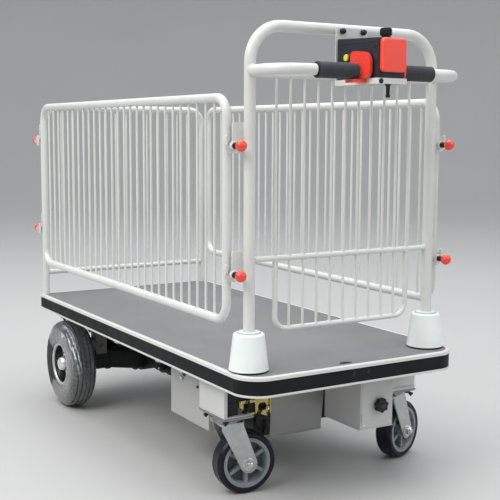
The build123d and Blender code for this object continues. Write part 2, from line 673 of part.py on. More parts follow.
LEG_IN = 27.0             # inner face of a fork leg from the wheel's middle
LEG_T = 4.0
for side, king_x, trail_deg in CASTERS:
    tx = math.cos(math.radians(trail_deg))
    ty = math.sin(math.radians(trail_deg))
    # local frame: x along the trail, y up, z along the wheel's axle
    axle_dir = (ty, -tx, 0)
    wheel_mid = at(king_x + TRAIL * tx, Y_KING + TRAIL * ty, CASTER_R)

    with BuildPart() as caster_fork:
        # crown and lower race
        with BuildSketch(Plane(at(king_x, Y_KING, 171.0), x_dir=(tx, ty, 0), z_dir=(0, 0, 1))):
            with Locations((3, 0)):
                RectangleRounded(58, 2 * (LEG_IN + LEG_T), 4)
        extrude(amount=5)
        with BuildSketch(Plane(at(king_x, Y_KING, 176.0), x_dir=(tx, ty, 0), z_dir=(0, 0, 1))):
            Circle(32)
        extrude(amount=8.5)
        # two legs, wide at the crown and round at the axle
        for sn in (-1, 1):
            leg_plane = Plane(
                at(king_x + sn * LEG_IN * axle_dir[0], Y_KING + sn * LEG_IN * axle_dir[1], 0),
                x_dir=(tx, ty, 0), z_dir=(sn * axle_dir[0], sn * axle_dir[1], 0))
            up = 1 if leg_plane.y_dir.Z > 0 else -1
            with BuildSketch(leg_plane):
                with Locations((TRAIL, up * CASTER_R)):
                    Circle(21)
                with Locations((-2, up * 168), (8, up * 168)):
                    Rectangle(40, 16)
                make_hull()
            extrude(amount=LEG_T)
        # axle bolt with its heads
        with BuildSketch(Plane(
                (wheel_mid[0] - 37 * axle_dir[0], wheel_mid[1] - 37 * axle_dir[1], CASTER_R),
                x_dir=(tx, ty, 0), z_dir=axle_dir)):
            Circle(6)
        extrude(amount=74)
        for sn in (-1, 1):
            with BuildSketch(Plane(
                    (wheel_mid[0] + sn * 31 * axle_dir[0], wheel_mid[1] + sn * 31 * axle_dir[1], CASTER_R),
                    x_dir=(tx, ty, 0), z_dir=(sn * axle_dir[0], sn * axle_dir[1], 0))):
                RegularPolygon(10.5, 6)
            extrude(amount=8)
        # room for the kingpin
        with Locations(at(king_x, Y_KING, 176)):
            Cylinder(6.3, 40, mode=Mode.SUBTRACT)
    caster_fork.part.label = f"caster_fork_{side}"
    export_step(caster_fork.part, f"parts/caster_fork_{side}.step")

    # wheel profiles: x across the tread, y outwards from the axle
    wheel_plane = Plane(wheel_mid, x_dir=axle_dir, z_dir=(tx, ty, 0))
    wheel_up = 1 if wheel_plane.y_dir.Z > 0 else -1
    axle_axis = Axis(wheel_mid, axle_dir)
    hw = CASTER_W / 2
    with BuildPart() as caster_tyre:
        with BuildSketch(wheel_plane):
            with BuildLine():
                FilletPolyline(
                    (-hw, wheel_up * R_TREAD_IN), (-hw, wheel_up * (CASTER_R - 5)),
                    (-hw * 0.7, wheel_up * CASTER_R), (hw * 0.7, wheel_up * CASTER_R),
                    (hw, wheel_up * (CASTER_R - 5)), (hw, wheel_up * R_TREAD_IN),
                    radius=1.5, close=True)
            make_face()
        revolve(axis=axle_axis)
    caster_tyre.part.label = f"caster_tyre_{side}"
    export_step(caster_tyre.part, f"parts/caster_tyre_{side}.step")

    with BuildPart() as caster_rim:
        with BuildSketch(wheel_plane):
            with BuildLine():
                # hub, thin web and outer ring
                Polyline(
                    (-26, wheel_up * 6.06), (-26, wheel_up * 14), (-17, wheel_up * 17), (-17, wheel_up * 19),
                    (-2, wheel_up * 21), (-2, wheel_up * 46.5), (-17, wheel_up * 49.3),
                    (-hw + 1, wheel_up * 51), (-hw + 1, wheel_up * (R_TREAD_IN - 0.1)),
                    (hw - 1, wheel_up * (R_TREAD_IN - 0.1)), (hw - 1, wheel_up * 51),
                    (17, wheel_up * 49.3), (2, wheel_up * 46.5), (2, wheel_up * 21),
                    (17, wheel_up * 19), (17, wheel_up * 17), (26, wheel_up * 14), (26, wheel_up * 6.06),
                    close=True)
            make_face()
        revolve(axis=axle_axis)
        # six spokes on both faces of the web
        with Locations(Plane(wheel_mid, x_dir=(0, 0, 1), z_dir=axle_dir)):
            with PolarLocations(33.5, 6):
                Box(33, 8, 30)
    caster_rim.part.label = f"caster_rim_{side}"
    export_step(caster_rim.part, f"parts/caster_rim_{side}.step")

# ---------------------------------------------------------------------------
# rear axle, drive unit and wheels
# ---------------------------------------------------------------------------
Y_MOTOR = Y_DECK + 345.0
Z_MOTOR = 150.0
with BuildPart() as rear_axle:
    # axle tube that widens to the gear casing in the middle
    with BuildSketch(facing(Y_REAR)):
        with BuildLine():
            Polyline(
                (-222, REAR_R), (-222, REAR_R + 30), (-150, REAR_R + 30), (-62, REAR_R + 43),
                (62, REAR_R + 43), (150, REAR_R + 30), (222, REAR_R + 30), (222, REAR_R), close=True)
        make_face()
    revolve(axis=Axis(at(0, Y_REAR, REAR_R), (1, 0, 0)))
    # stub shafts
    with BuildSketch(across(-298)):
        with Locations((Y_REAR, REAR_R)):
            Circle(10)
    extrude(amount=596)
    # casing that reaches forward to the motor
    with BuildSketch(across(-45)):
        with Locations((Y_REAR, REAR_R)):
            Circle(50)
        with Locations((Y_MOTOR, Z_MOTOR)):
            Circle(41)
        make_hull()
    extrude(amount=14)
    # carrier plate behind the axle, up to the deck
    with BuildSketch(facing(Y_REAR + 26)):
        with Locations((0, (125 + Z_UNDER) / 2)):
            Rectangle(330, Z_UNDER - 125)
    extrude(amount=6)
rear_axle.part.label = "rear_axle"
export_step(rear_axle.part, "parts/rear_axle.step")

with BuildPart() as drive_motor:
    # flanges, body and end cap along the motor's shaft
    for mx0, mx1, mr in ((-31.0, -16.0, 50.0), (-16.0, 8.0, 60.0), (8.0, 128.0, 70.0), (128.0, 150.0, 54.0)):
        with BuildSketch(across(mx0)):
            with Locations((Y_MOTOR, Z_MOTOR)):
                Circle(mr)
        extrude(amount=mx1 - mx0)
    # room for the gear casing
    with Locations(Location(at(0, Y_REAR, REAR_R), (0, 90, 0))):
        Cylinder(46, 700, mode=Mode.SUBTRACT)
drive_motor.part.label = "drive_motor"
export_step(drive_motor.part, "parts/drive_motor.step")

with BuildPart() as axle_brackets:
    for sx in (-1, 1):
        with BuildSketch(across(sx * 165)):
            with Locations((Y_REAR, (Z_UNDER + 140) / 2)):
                Rectangle(42, Z_UNDER - 140)
            with Locations((Y_REAR, REAR_R)):
                Circle(30, mode=Mode.SUBTRACT)
        extrude(amount=sx * 35)
axle_brackets.part.label = "axle_brackets"
export_step(axle_brackets.part, "parts/axle_brackets.step")

for side, sx in (("left", -1), ("right", 1)):
    hub = Plane(at(sx * X_REAR, Y_REAR, REAR_R), x_dir=(sx, 0, 0), z_dir=(0, -sx, 0))
    spin = Axis(at(sx * X_REAR, Y_REAR, REAR_R), (1, 0, 0))
    h = REAR_W / 2
    with BuildPart() as rear_tyre:
        # pneumatic section: x outwards, y from the axle
        with BuildSketch(hub):
            with BuildLine():
                Polyline((-h + 12, R_RIM), (-h + 9, 67.5), (-h + 2, 70), (-h, 80), (-h, 104))
                ThreePointArc((-h, 104), (-h + 6, 121), (-h + 20, 129.5))
                ThreePointArc((-h + 20, 129.5), (0, REAR_R), (h - 20, 129.5))
                ThreePointArc((h - 20, 129.5), (h - 6, 121), (h, 104))
                Polyline(
                    (h, 104), (h, 80), (h - 2, 70), (h - 9, 67.5), (h - 12, R_RIM), (-h + 12, R_RIM))
            make_face()
        revolve(axis=spin)
    rear_tyre.part.label = f"rear_tyre_{side}"
    export_step(rear_tyre.part, f"parts/rear_tyre_{side}.step")

    with BuildPart() as rear_rim:
        with BuildSketch(hub):
            with BuildLine():
                # hub, web, barrel and the two lips
                Polyline(
                    (-34, 10.06), (-34, 24), (-5, 27), (-3, 54), (-20, 57), (-33, 58), (-36, 62),
                    (-35.5, 66.5), (-31, 66.5), (-28, R_RIM - 0.1),
                    (28, R_RIM - 0.1), (31, 66.5), (35.5, 66.5), (36, 62), (33, 58), (20, 57),
                    (5, 54), (4, 28), (18, 24), (27, 16),
                    (27, 0), (24, 0), (24, 10.06), close=True)
            make_face()
        revolve(axis=spin)
        # four round windows in the web
        with Locations(Plane(at(sx * X_REAR, Y_REAR, REAR_R), x_dir=(0, 0, 1), z_dir=(1, 0, 0))):
            with PolarLocations(41, 4, start_angle=45):
                Cylinder(12, 30, mode=Mode.SUBTRACT)
    rear_rim.part.label = f"rear_rim_{side}"
    export_step(rear_rim.part, f"parts/rear_rim_{side}.step")

# ---------------------------------------------------------------------------
# boxes under the deck
# ---------------------------------------------------------------------------
# name, then low x, high x, low y, high y of the lower edge, the same of the upper edge, bottom
BOXES = (
    ("battery_box", -79.0, 75.0, -390.0, -120.0, -79.0, 83.0, -404.0, -120.0, 90.0),
    ("side_box", -224.0, -152.0, -342.0, -138.0, -224.0, -152.0, -342.0, -138.0, 117.0),
    ("knob_box", 46.0, 143.0, -590.0, -445.0, 46.0, 143.0, -590.0, -445.0, 141.0),
)
for box_name, ax0, ax1, ay0, ay1, bx0, bx1, by0, by1, bz in BOXES:
    with BuildPart() as under_box:
        with BuildSketch(level(bz)):
            with Locations(((ax0 + ax1) / 2, Y_DECK + (ay0 + ay1) / 2)):
                RectangleRounded(ax1 - ax0, ay1 - ay0, 2)
        with BuildSketch(level(Z_UNDER)):
            with Locations(((bx0 + bx1) / 2, Y_DECK + (by0 + by1) / 2)):
                RectangleRounded(bx1 - bx0, by1 - by0, 2)
        loft()
    under_box.part.label = box_name
    export_step(under_box.part, f"parts/{box_name}.step")

with BuildPart() as star_knob:
    with BuildSketch(facing(Y_DECK - 590.0)):
        with Locations((100, 198.5)):
            Circle(8)
    extrude(amount=5)
    with BuildSketch(facing(Y_DECK - 595.0)):
        with Locations((100, 198.5)):
            Circle(14.5)
            with PolarLocations(12.6, 7, start_angle=13):
                Circle(4.9)
    extrude(amount=12)
    fillet(star_knob.faces().sort_by(Axis.Y)[0].edges(), 1.0)
star_knob.part.label = "star_knob"
export_step(star_knob.part, "parts/star_knob.step")

RELAY_Y = Y_DECK - 394.0
# low x, high x, low y, high y, bottom
UNITS = (
    (-203.0, -83.0, -394.0, -350.0, 158.0),
    (-128.0, -83.0, -394.0, -350.0, 100.0),
    (110.0, 190.0, -320.0, -240.0, 92.0),
)
with BuildPart() as relay_units:
    for ux0, ux1, uy0, uy1, uz in UNITS:
        with BuildSketch(level(uz)):
            with Locations(((ux0 + ux1) / 2, Y_DECK + (uy0 + uy1) / 2)):
                Rectangle(ux1 - ux0, uy1 - uy0)
        extrude(amount=Z_UNDER - uz)
relay_units.part.label = "relay_units"
export_step(relay_units.part, "parts/relay_units.step")

# two plated brackets on the relay unit's face
with BuildPart() as zinc_brackets:
    # open to one side
    with BuildSketch(facing(RELAY_Y)):
        with Locations((-150.0, 177.5)):
            Rectangle(43, 38)
        with Locations((-144.0, 176.5)):
            Rectangle(32, 25, mode=Mode.SUBTRACT)
    extrude(amount=5)
    # closed ring
    with BuildSketch(facing(RELAY_Y)):
        with Locations((-106.0, 178.5)):
            RectangleRounded(40, 38, 6)
        with Locations((-106.5, 176.0)):
            RectangleRounded(24, 19, 8, mode=Mode.SUBTRACT)
    extrude(amount=5)
zinc_brackets.part.label = "zinc_brackets"
export_step(zinc_brackets.part, "parts/zinc_brackets.step")
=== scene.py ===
import math
import random

import bmesh
import bpy
from mathutils import Matrix, Vector, noise


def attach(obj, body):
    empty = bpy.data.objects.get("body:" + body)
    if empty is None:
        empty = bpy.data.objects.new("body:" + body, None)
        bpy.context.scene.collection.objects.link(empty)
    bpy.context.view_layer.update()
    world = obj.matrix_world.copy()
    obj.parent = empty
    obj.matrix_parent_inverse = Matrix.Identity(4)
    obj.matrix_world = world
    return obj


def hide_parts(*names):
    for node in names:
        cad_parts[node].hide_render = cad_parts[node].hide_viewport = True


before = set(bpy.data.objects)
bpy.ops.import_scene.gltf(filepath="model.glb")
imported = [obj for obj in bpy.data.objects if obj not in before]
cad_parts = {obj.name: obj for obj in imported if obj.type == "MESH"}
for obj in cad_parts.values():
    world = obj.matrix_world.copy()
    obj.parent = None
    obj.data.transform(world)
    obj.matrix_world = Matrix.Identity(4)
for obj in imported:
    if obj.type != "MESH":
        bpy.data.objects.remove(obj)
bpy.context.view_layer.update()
random.seed(7)

XC = -19.7          # the deck's centre in the row frame, mm
YC = 41.25


def P(x, y, z):
    """A point given in millimetres from the deck's centre line, in row-frame metres."""
    return Vector((x + XC, y + YC, z)) * 0.001


# ---------------------------------------------------------------------------
# camera
# ---------------------------------------------------------------------------
yaw, pitch, roll = math.radians(31.1233), math.radians(-6.8095), math.radians(0.2564)
fw = Vector((math.sin(yaw) * math.cos(pitch), math.cos(yaw) * math.cos(pitch), math.sin(pitch)))
right = fw.cross(Vector((0, 0, 1))).normalized()
up = right.cross(fw)
cr = right * math.cos(roll) + up * math.sin(roll)
cu = up * math.cos(roll) - right * math.sin(roll)
cam_data = bpy.data.cameras.new("camera")
cam = bpy.data.objects.new("camera", cam_data)
bpy.context.scene.collection.objects.link(cam)
rot = Matrix((cr, cu, -fw)).transposed().to_4x4()
cam.matrix_world = Matrix.Translation(P(-1346.82, -2392.15, 839.40)) @ rot
cam_data.sensor_width = 36.0
cam_data.lens = 989.2 / 500.0 * 36.0
cam_data.clip_start, cam_data.clip_end = 0.05, 100.0
bpy.context.scene.camera = cam


# ---------------------------------------------------------------------------
# node helpers
# ---------------------------------------------------------------------------
class Mat:
    def __init__(self, name):
        self.m = bpy.data.materials.new(name)
        self.m.use_nodes = True
        self.t = self.m.node_tree
        self.t.nodes.clear()
        self.out = self.t.nodes.new("ShaderNodeOutputMaterial")
        self.b = self.t.nodes.new("ShaderNodeBsdfPrincipled")
        self.t.links.new(self.b.outputs[0], self.out.inputs[0])
        self.co = self.t.nodes.new("ShaderNodeTexCoord").outputs["Object"]

    def put(self, sock, value):
        if isinstance(value, bpy.types.NodeSocket):
            self.t.links.new(value, sock)
        elif isinstance(value, (tuple, list)) and len(value) == 3 and sock.type == "RGBA":
            sock.default_value = (*value, 1)
        else:
            sock.default_value = value

    def noise(self, scale, detail=3.0, rough=0.5, vec=None, distort=0.0):
        n = self.t.nodes.new("ShaderNodeTexNoise")
        n.inputs["Scale"].default_value = scale
        n.inputs["Detail"].default_value = detail
        n.inputs["Roughness"].default_value = rough
        n.inputs["Distortion"].default_value = distort
        self.put(n.inputs["Vector"], vec if vec is not None else self.co)
        return n.outputs["Fac"]

    def vor(self, scale, feature="F1", out="Distance", vec=None, rand=1.0):
        n = self.t.nodes.new("ShaderNodeTexVoronoi")
        n.feature = feature
        n.inputs["Scale"].default_value = scale
        n.inputs["Randomness"].default_value = rand
        self.put(n.inputs["Vector"], vec if vec is not None else self.co)
        return n.outputs[out]

    def wave(self, scale, axis="X", distort=0.0, detail=1.0, dscale=1.0, vec=None, kind="BANDS", prof="SIN"):
        n = self.t.nodes.new("ShaderNodeTexWave")
        n.wave_type = kind
        if kind == "BANDS":
            n.bands_direction = axis
        else:
            n.rings_direction = axis
        n.wave_profile = prof
        n.inputs["Scale"].default_value = scale
        n.inputs["Distortion"].default_value = distort
        n.inputs["Detail"].default_value = detail
        n.inputs["Detail Scale"].default_value = dscale
        self.put(n.inputs["Vector"], vec if vec is not None else self.co)
        return n.outputs["Fac"]

    def map(self, scale=(1, 1, 1), rot=(0, 0, 0), loc=(0, 0, 0), vec=None):
        n = self.t.nodes.new("ShaderNodeMapping")
        n.inputs["Scale"].default_value = scale
        n.inputs["Rotation"].default_value = rot
        n.inputs["Location"].default_value = loc
        self.put(n.inputs["Vector"], vec if vec is not None else self.co)
        return n.outputs[0]

    def rng(self, v, a, b, lo=0.0, hi=1.0, smooth=False):
        n = self.t.nodes.new("ShaderNodeMapRange")
        n.interpolation_type = "SMOOTHSTEP" if smooth else "LINEAR"
        self.put(n.inputs["Value"], v)
        n.inputs["From Min"].default_value = a
        n.inputs["From Max"].default_value = b
        n.inputs["To Min"].default_value = lo
        n.inputs["To Max"].default_value = hi
        return n.outputs["Result"]

    def math(self, op, a, b=0.0, clamp=False):
        n = self.t.nodes.new("ShaderNodeMath")
        n.operation = op
        n.use_clamp = clamp
        self.put(n.inputs[0], a)
        self.put(n.inputs[1], b)
        return n.outputs[0]

    def mix(self, fac, a, b, mode="MIX"):
        n = self.t.nodes.new("ShaderNodeMix")
        n.data_type = "RGBA"
        n.blend_type = mode
        self.put(n.inputs[0], fac)
        self.put(n.inputs[6], a)
        self.put(n.inputs[7], b)
        return n.outputs[2]

    def sep(self, vec=None):
        n = self.t.nodes.new("ShaderNodeSeparateXYZ")
        self.put(n.inputs[0], vec if vec is not None else self.co)
        return n.outputs

    def comb(self, a, b, c):
        n = self.t.nodes.new("ShaderNodeCombineXYZ")
        for k, v in enumerate((a, b, c)):
            self.put(n.inputs[k], v)
        return n.outputs[0]

    def normal_z(self):
        n = self.t.nodes.new("ShaderNodeNewGeometry")
        return self.sep(n.outputs["Normal"])[2]

    def bump(self, height, strength=0.3, dist=0.001, normal=None):
        n = self.t.nodes.new("ShaderNodeBump")
        n.inputs["Strength"].default_value = strength
        n.inputs["Distance"].default_value = dist
        self.put(n.inputs["Height"], height)
        if normal is not None:
            self.put(n.inputs["Normal"], normal)
        return n.outputs[0]

    def finish(self, color, rough, metal=0.0, normal=None, **more):
        self.put(self.b.inputs["Base Color"], color)
        self.put(self.b.inputs["Roughness"], rough)
        self.put(self.b.inputs["Metallic"], metal)
        if normal is not None:
            self.put(self.b.inputs["Normal"], normal)
        for k, v in more.items():
            self.put(self.b.inputs[k.replace("_", " ")], v)
        return self.m


def scale_c(c, k):
    return tuple(min(1.0, x * k) for x in c)


def powder_coat(name, c, rough=0.36, peel=0.10, dust=0.10, coat=0.18, spec=0.5):
    """Sprayed paint: orange peel, faint cloudiness, dust on what faces up, hairline scuffs."""
    m = Mat(name)
    cloud = m.noise(7.0, 4, 0.55)
    col = m.mix(m.rng(cloud, 0.3, 0.7), scale_c(c, 0.965), scale_c(c, 1.03))
    speck = m.rng(m.noise(420.0, 2, 0.5), 0.66, 0.74)
    col = m.mix(m.math("MULTIPLY", speck, 0.10), col, scale_c(c, 0.72))
    upward = m.rng(m.normal_z(), 0.2, 0.95, smooth=True)
    dusty = m.math("MULTIPLY", upward, m.rng(m.noise(26.0, 5, 0.6), 0.35, 0.75))
    col = m.mix(m.math("MULTIPLY", dusty, dust), col, (0.50, 0.48, 0.44))
    hair = m.rng(m.noise(9.0, 6, 0.62, vec=m.map((1, 1, 22), rot=(0.5, 0.3, 0.2))), 0.665, 0.69)
    hair = m.math("MULTIPLY", hair, m.rng(m.noise(3.0, 1), 0.45, 0.62))
    col = m.mix(m.math("MULTIPLY", hair, 0.16), col, scale_c(c, 0.6))
    r = m.math("ADD", m.rng(m.noise(55.0, 3), 0.3, 0.7, rough - 0.05, rough + 0.07),
               m.math("MULTIPLY", dusty, 0.16))
    n1 = m.bump(m.noise(780.0, 2, 0.45), peel, 0.0006)
    n2 = m.bump(m.noise(34.0, 3, 0.5), 0.10, 0.0012, n1)
    return m.finish(col, r, 0.0, n2, Coat_Weight=coat, Coat_Roughness=0.16, Specular_IOR_Level=spec)


def plastic(name, c, rough=0.42, grain=900.0, gstr=0.22, var=0.08, coat=0.0, sheen=0.0, spec=0.5, fleck=0.2):
    m = Mat(name)
    col = m.mix(m.rng(m.noise(18.0, 4, 0.55), 0.3, 0.7), scale_c(c, 1 - var), scale_c(c, 1 + var))
    col = m.mix(m.math("MULTIPLY", m.rng(m.noise(260.0, 3), 0.62, 0.75), fleck), col,
                tuple(0.7 * x + 0.06 for x in c))
    r = m.rng(m.noise(70.0, 4, 0.6), 0.25, 0.75, rough - 0.06, rough + 0.08)
    n1 = m.bump(m.vor(grain, "SMOOTH_F1"), gstr, 0.0004)
    n2 = m.bump(m.noise(22.0, 3), 0.08, 0.0015, n1)
    return m.finish(col, r, 0.0, n2, Coat_Weight=coat, Coat_Roughness=0.12,
                    Sheen_Weight=sheen, Specular_IOR_Level=spec)


def galvanised(name, c, rough=0.34, spangle=95.0):
    """Zinc plate: spangles, fine drawing marks, dull patches."""
    m = Mat(name)
    cell = m.sep(m.vor(spangle, "F1", "Color"))[0]
    cell2 = m.sep(m.vor(spangle * 2.3, "F1", "Color"))[1]
    f = m.math("ADD", m.math("MULTIPLY", cell, 0.6), m.math("MULTIPLY", cell2, 0.4))
    col = m.mix(f, scale_c(c, 0.88), scale_c(c, 1.08))
    dull = m.rng(m.noise(28.0, 5, 0.6), 0.42, 0.7)
    col = m.mix(m.math("MULTIPLY", dull, 0.25), col, scale_c(c, 0.72))
    r = m.math("ADD", m.rng(f, 0.0, 1.0, rough - 0.06, rough + 0.10), m.math("MULTIPLY", dull, 0.14))
    lines = m.noise(60.0, 4, 0.6, vec=m.map((1, 1, 14)))
    n1 = m.bump(lines, 0.10, 0.0005)
    n2 = m.bump(f, 0.05, 0.0006, n1)
    return m.finish(col, r, 0.92, n2)


def machined(name, c, rough=0.2, metal=1.0, ring=900.0, wear=0.3):
    m = Mat(name)
    col = m.mix(m.rng(m.noise(40.0, 4, 0.6), 0.3, 0.7), scale_c(c, 0.86), scale_c(c, 1.08))
    stain = m.rng(m.noise(90.0, 5, 0.65), 0.56, 0.72)
    col = m.mix(m.math("MULTIPLY", stain, wear), col, scale_c(c, 0.55))
    r = m.math("ADD", m.rng(m.noise(120.0, 3), 0.3, 0.7, rough - 0.05, rough + 0.08),
               m.math("MULTIPLY", stain, 0.18))
    n1 = m.bump(m.noise(ring, 2), 0.10, 0.0003)
    return m.finish(col, r, metal, n1)


WHITE = (0.685, 0.685, 0.658)
M = {}
M["paint"] = powder_coat("paint_warm_white", WHITE)
M["paint_gate"] = powder_coat("paint_gate_white", (0.685, 0.688, 0.664), rough=0.34)
M["paint_light"] = powder_coat("paint_light_grey", (0.51, 0.512, 0.505), rough=0.44, peel=0.16)
M["paint_box"] = powder_coat("paint_box_grey", (0.445, 0.45, 0.442), rough=0.46, peel=0.18)
# battery box: its own grey paint, darkened below the box grey as painted shade for its place under the deck
M["battery_paint_shaded"] = powder_coat("battery_grey_painted_shade", (0.385, 0.387, 0.378), rough=0.46, peel=0.18)
M["paint_mount"] = powder_coat("paint_mount_grey", (0.60, 0.602, 0.585), rough=0.38)
M["paint_dark"] = powder_coat("paint_axle_black", (0.020, 0.021, 0.022), rough=0.48, peel=0.2, dust=0.10, coat=0.0, spec=0.3)
# axle brackets and their bolts: grey paint darkened well below the box grey as painted shade for the deck's shadow
M["bracket_paint_shaded"] = powder_coat("bracket_grey_painted_shade", (0.20, 0.20, 0.195), rough=0.5, peel=0.2, coat=0.0, spec=0.35)
M["collar"] = plastic("collar_white", (0.86, 0.90, 0.870), rough=0.30, grain=700, gstr=0.04, var=0.015, coat=0.25, fleck=0.05)
# grey for the riser of the collar's step: painted shade on the white collar
M["collar_shade"] = plastic("collar_riser_painted_shade", (0.46, 0.50, 0.525), rough=0.45, grain=700, gstr=0.04, var=0.04)
M["red"] = plastic("gloss_red", (0.90, 0.050, 0.030), rough=0.24, grain=600, gstr=0.03, var=0.03, coat=0.55, fleck=0.05)
# pad red: its own red, raised in brightness above the paddle red as painted light on the pad
M["red_pad_lit"] = plastic("satin_red_painted_light", (0.98, 0.082, 0.050), rough=0.32, grain=800, gstr=0.04, var=0.03, coat=0.35, fleck=0.04)
M["yellow"] = plastic("gloss_yellow", (0.82, 0.66, 0.02), rough=0.3, gstr=0.04, var=0.04, coat=0.4)
M["dark"] = plastic("box_charcoal", (0.019, 0.021, 0.030), rough=0.42, grain=620, gstr=0.22, spec=0.4)
M["black"] = plastic("black_moulding", (0.010, 0.010, 0.012), rough=0.42, grain=900, gstr=0.2, spec=0.32)
M["black_gloss"] = plastic("black_gloss", (0.008, 0.008, 0.010), rough=0.24, grain=700, gstr=0.06, coat=0.3, spec=0.4)
M["zinc"] = galvanised("zinc_plated", (0.50, 0.52, 0.515), rough=0.33)
M["zinc_dull"] = galvanised("zinc_dull", (0.34, 0.36, 0.35), rough=0.42)
M["bright"] = machined("bright_bolt", (0.66, 0.68, 0.69), rough=0.22)
M["black_steel"] = machined("black_steel", (0.030, 0.030, 0.034), rough=0.36, metal=0.6)
M["copper"] = machined("copper_bolt", (0.64, 0.43, 0.27), rough=0.3)
M["rim_grey"] = plastic("caster_rim_grey", (0.225, 0.255, 0.265), rough=0.36, grain=500, gstr=0.08, var=0.05)
# caster rim web between the spokes: darker than the rim grey as painted shade in the pockets
M["rim_web_shade"] = plastic("caster_web_painted_shade", (0.055, 0.070, 0.078), rough=0.45, grain=500, gstr=0.12, var=0.1)


def yellow_zinc():
    m = Mat("zinc_yellow")
    f = m.noise(38.0, 4, 0.6, distort=0.6)
    col = m.mix(m.rng(f, 0.3, 0.55), (0.60, 0.43, 0.13), (0.52, 0.45, 0.16))
    col = m.mix(m.rng(f, 0.55, 0.72), col, (0.46, 0.24, 0.17))
    r = m.rng(m.noise(90.0, 4), 0.3, 0.7, 0.22, 0.42)
    return m.finish(col, r, 0.9, m.bump(m.noise(300.0, 3), 0.12, 0.0004))


M["gold"] = yellow_zinc()


def mat_top():
    """Ribbed rubber mat: fine ribs along the deck, fibres and foot dust."""
    m = Mat("deck_mat_grey")
    ribs = m.wave(330.0, "X", 0.0)
    cross = m.noise(900.0, 2, 0.5, vec=m.map((1, 0.25, 1)))
    c0 = (0.166, 0.163, 0.170)
    cloud = m.noise(5.0, 5, 0.6)
    col = m.mix(m.rng(cloud, 0.3, 0.7), scale_c(c0, 0.92), scale_c(c0, 1.10))
    col = m.mix(m.math("MULTIPLY", m.rng(ribs, 0.1, 0.9), 0.30), col, scale_c(c0, 1.35))
    fleck = m.rng(m.noise(520.0, 3, 0.6), 0.62, 0.74)
    col = m.mix(m.math("MULTIPLY", fleck, 0.35), col, (0.30, 0.30, 0.31))
    dust = m.rng(m.noise(11.0, 6, 0.65), 0.50, 0.78)
    col = m.mix(m.math("MULTIPLY", dust, 0.20), col, (0.33, 0.32, 0.30))
    r = m.rng(cloud, 0.2, 0.8, 0.50, 0.66)
    n1 = m.bump(ribs, 0.35, 0.0005)
    n2 = m.bump(cross, 0.25, 0.0003, n1)
    return m.finish(col, r, 0.0, n2, Sheen_Weight=0.10, Sheen_Roughness=0.5)


def band():
    m = Mat("bumper_rubber")
    c0 = (0.0060, 0.0068, 0.0085)
    z = m.sep()[2]
    col = m.mix(m.rng(m.noise(16.0, 5, 0.6), 0.3, 0.75), c0, scale_c(c0, 1.7))
    scuff = m.rng(m.noise(30.0, 6, 0.66, vec=m.map((1, 1, 6))), 0.60, 0.72)
    col = m.mix(m.math("MULTIPLY", scuff, 0.30), col, (0.036, 0.037, 0.040))
    r = m.rng(m.noise(45.0, 4), 0.3, 0.7, 0.48, 0.62)
    n1 = m.bump(m.noise(600.0, 3, 0.55), 0.16, 0.0005)
    n2 = m.bump(m.math("SINE", m.math("MULTIPLY", z, 2600.0)), 0.05, 0.0004, n1)
    return m.finish(col, r, 0.0, n2, Specular_IOR_Level=0.18)


def foam():
    m = Mat("grip_foam")
    c0 = (0.022, 0.0245, 0.030)
    cells = m.vor(1150.0, "F1")
    col = m.mix(m.rng(cells, 0.1, 0.6), scale_c(c0, 0.6), scale_c(c0, 1.7))
    col = m.mix(m.math("MULTIPLY", m.rng(m.noise(40.0, 4), 0.5, 0.8), 0.4), col, (0.030, 0.031, 0.036))
    n1 = m.bump(cells, 0.5, 0.0006)
    n2 = m.bump(m.noise(60.0, 3), 0.15, 0.002, n1)
    return m.finish(col, m.rng(m.noise(80.0, 3), 0.3, 0.7, 0.66, 0.84), 0.0, n2,
                    Sheen_Weight=0.05, Sheen_Roughness=0.6, Specular_IOR_Level=0.35)


def caster_rubber():
    m = Mat("caster_tyre_navy")
    c0 = (0.0062, 0.0054, 0.016)
    col = m.mix(m.rng(m.noise(26.0, 5, 0.6), 0.3, 0.7), scale_c(c0, 0.8), scale_c(c0, 1.35))
    dirt = m.rng(m.noise(120.0, 5, 0.65), 0.52, 0.72)
    col = m.mix(m.math("MULTIPLY", dirt, 0.12), col, (0.036, 0.034, 0.042))
    r = m.rng(m.noise(60.0, 4), 0.3, 0.7, 0.26, 0.44)
    return m.finish(col, r, 0.0, m.bump(m.noise(420.0, 3, 0.55), 0.10, 0.0004), Specular_IOR_Level=0.27)


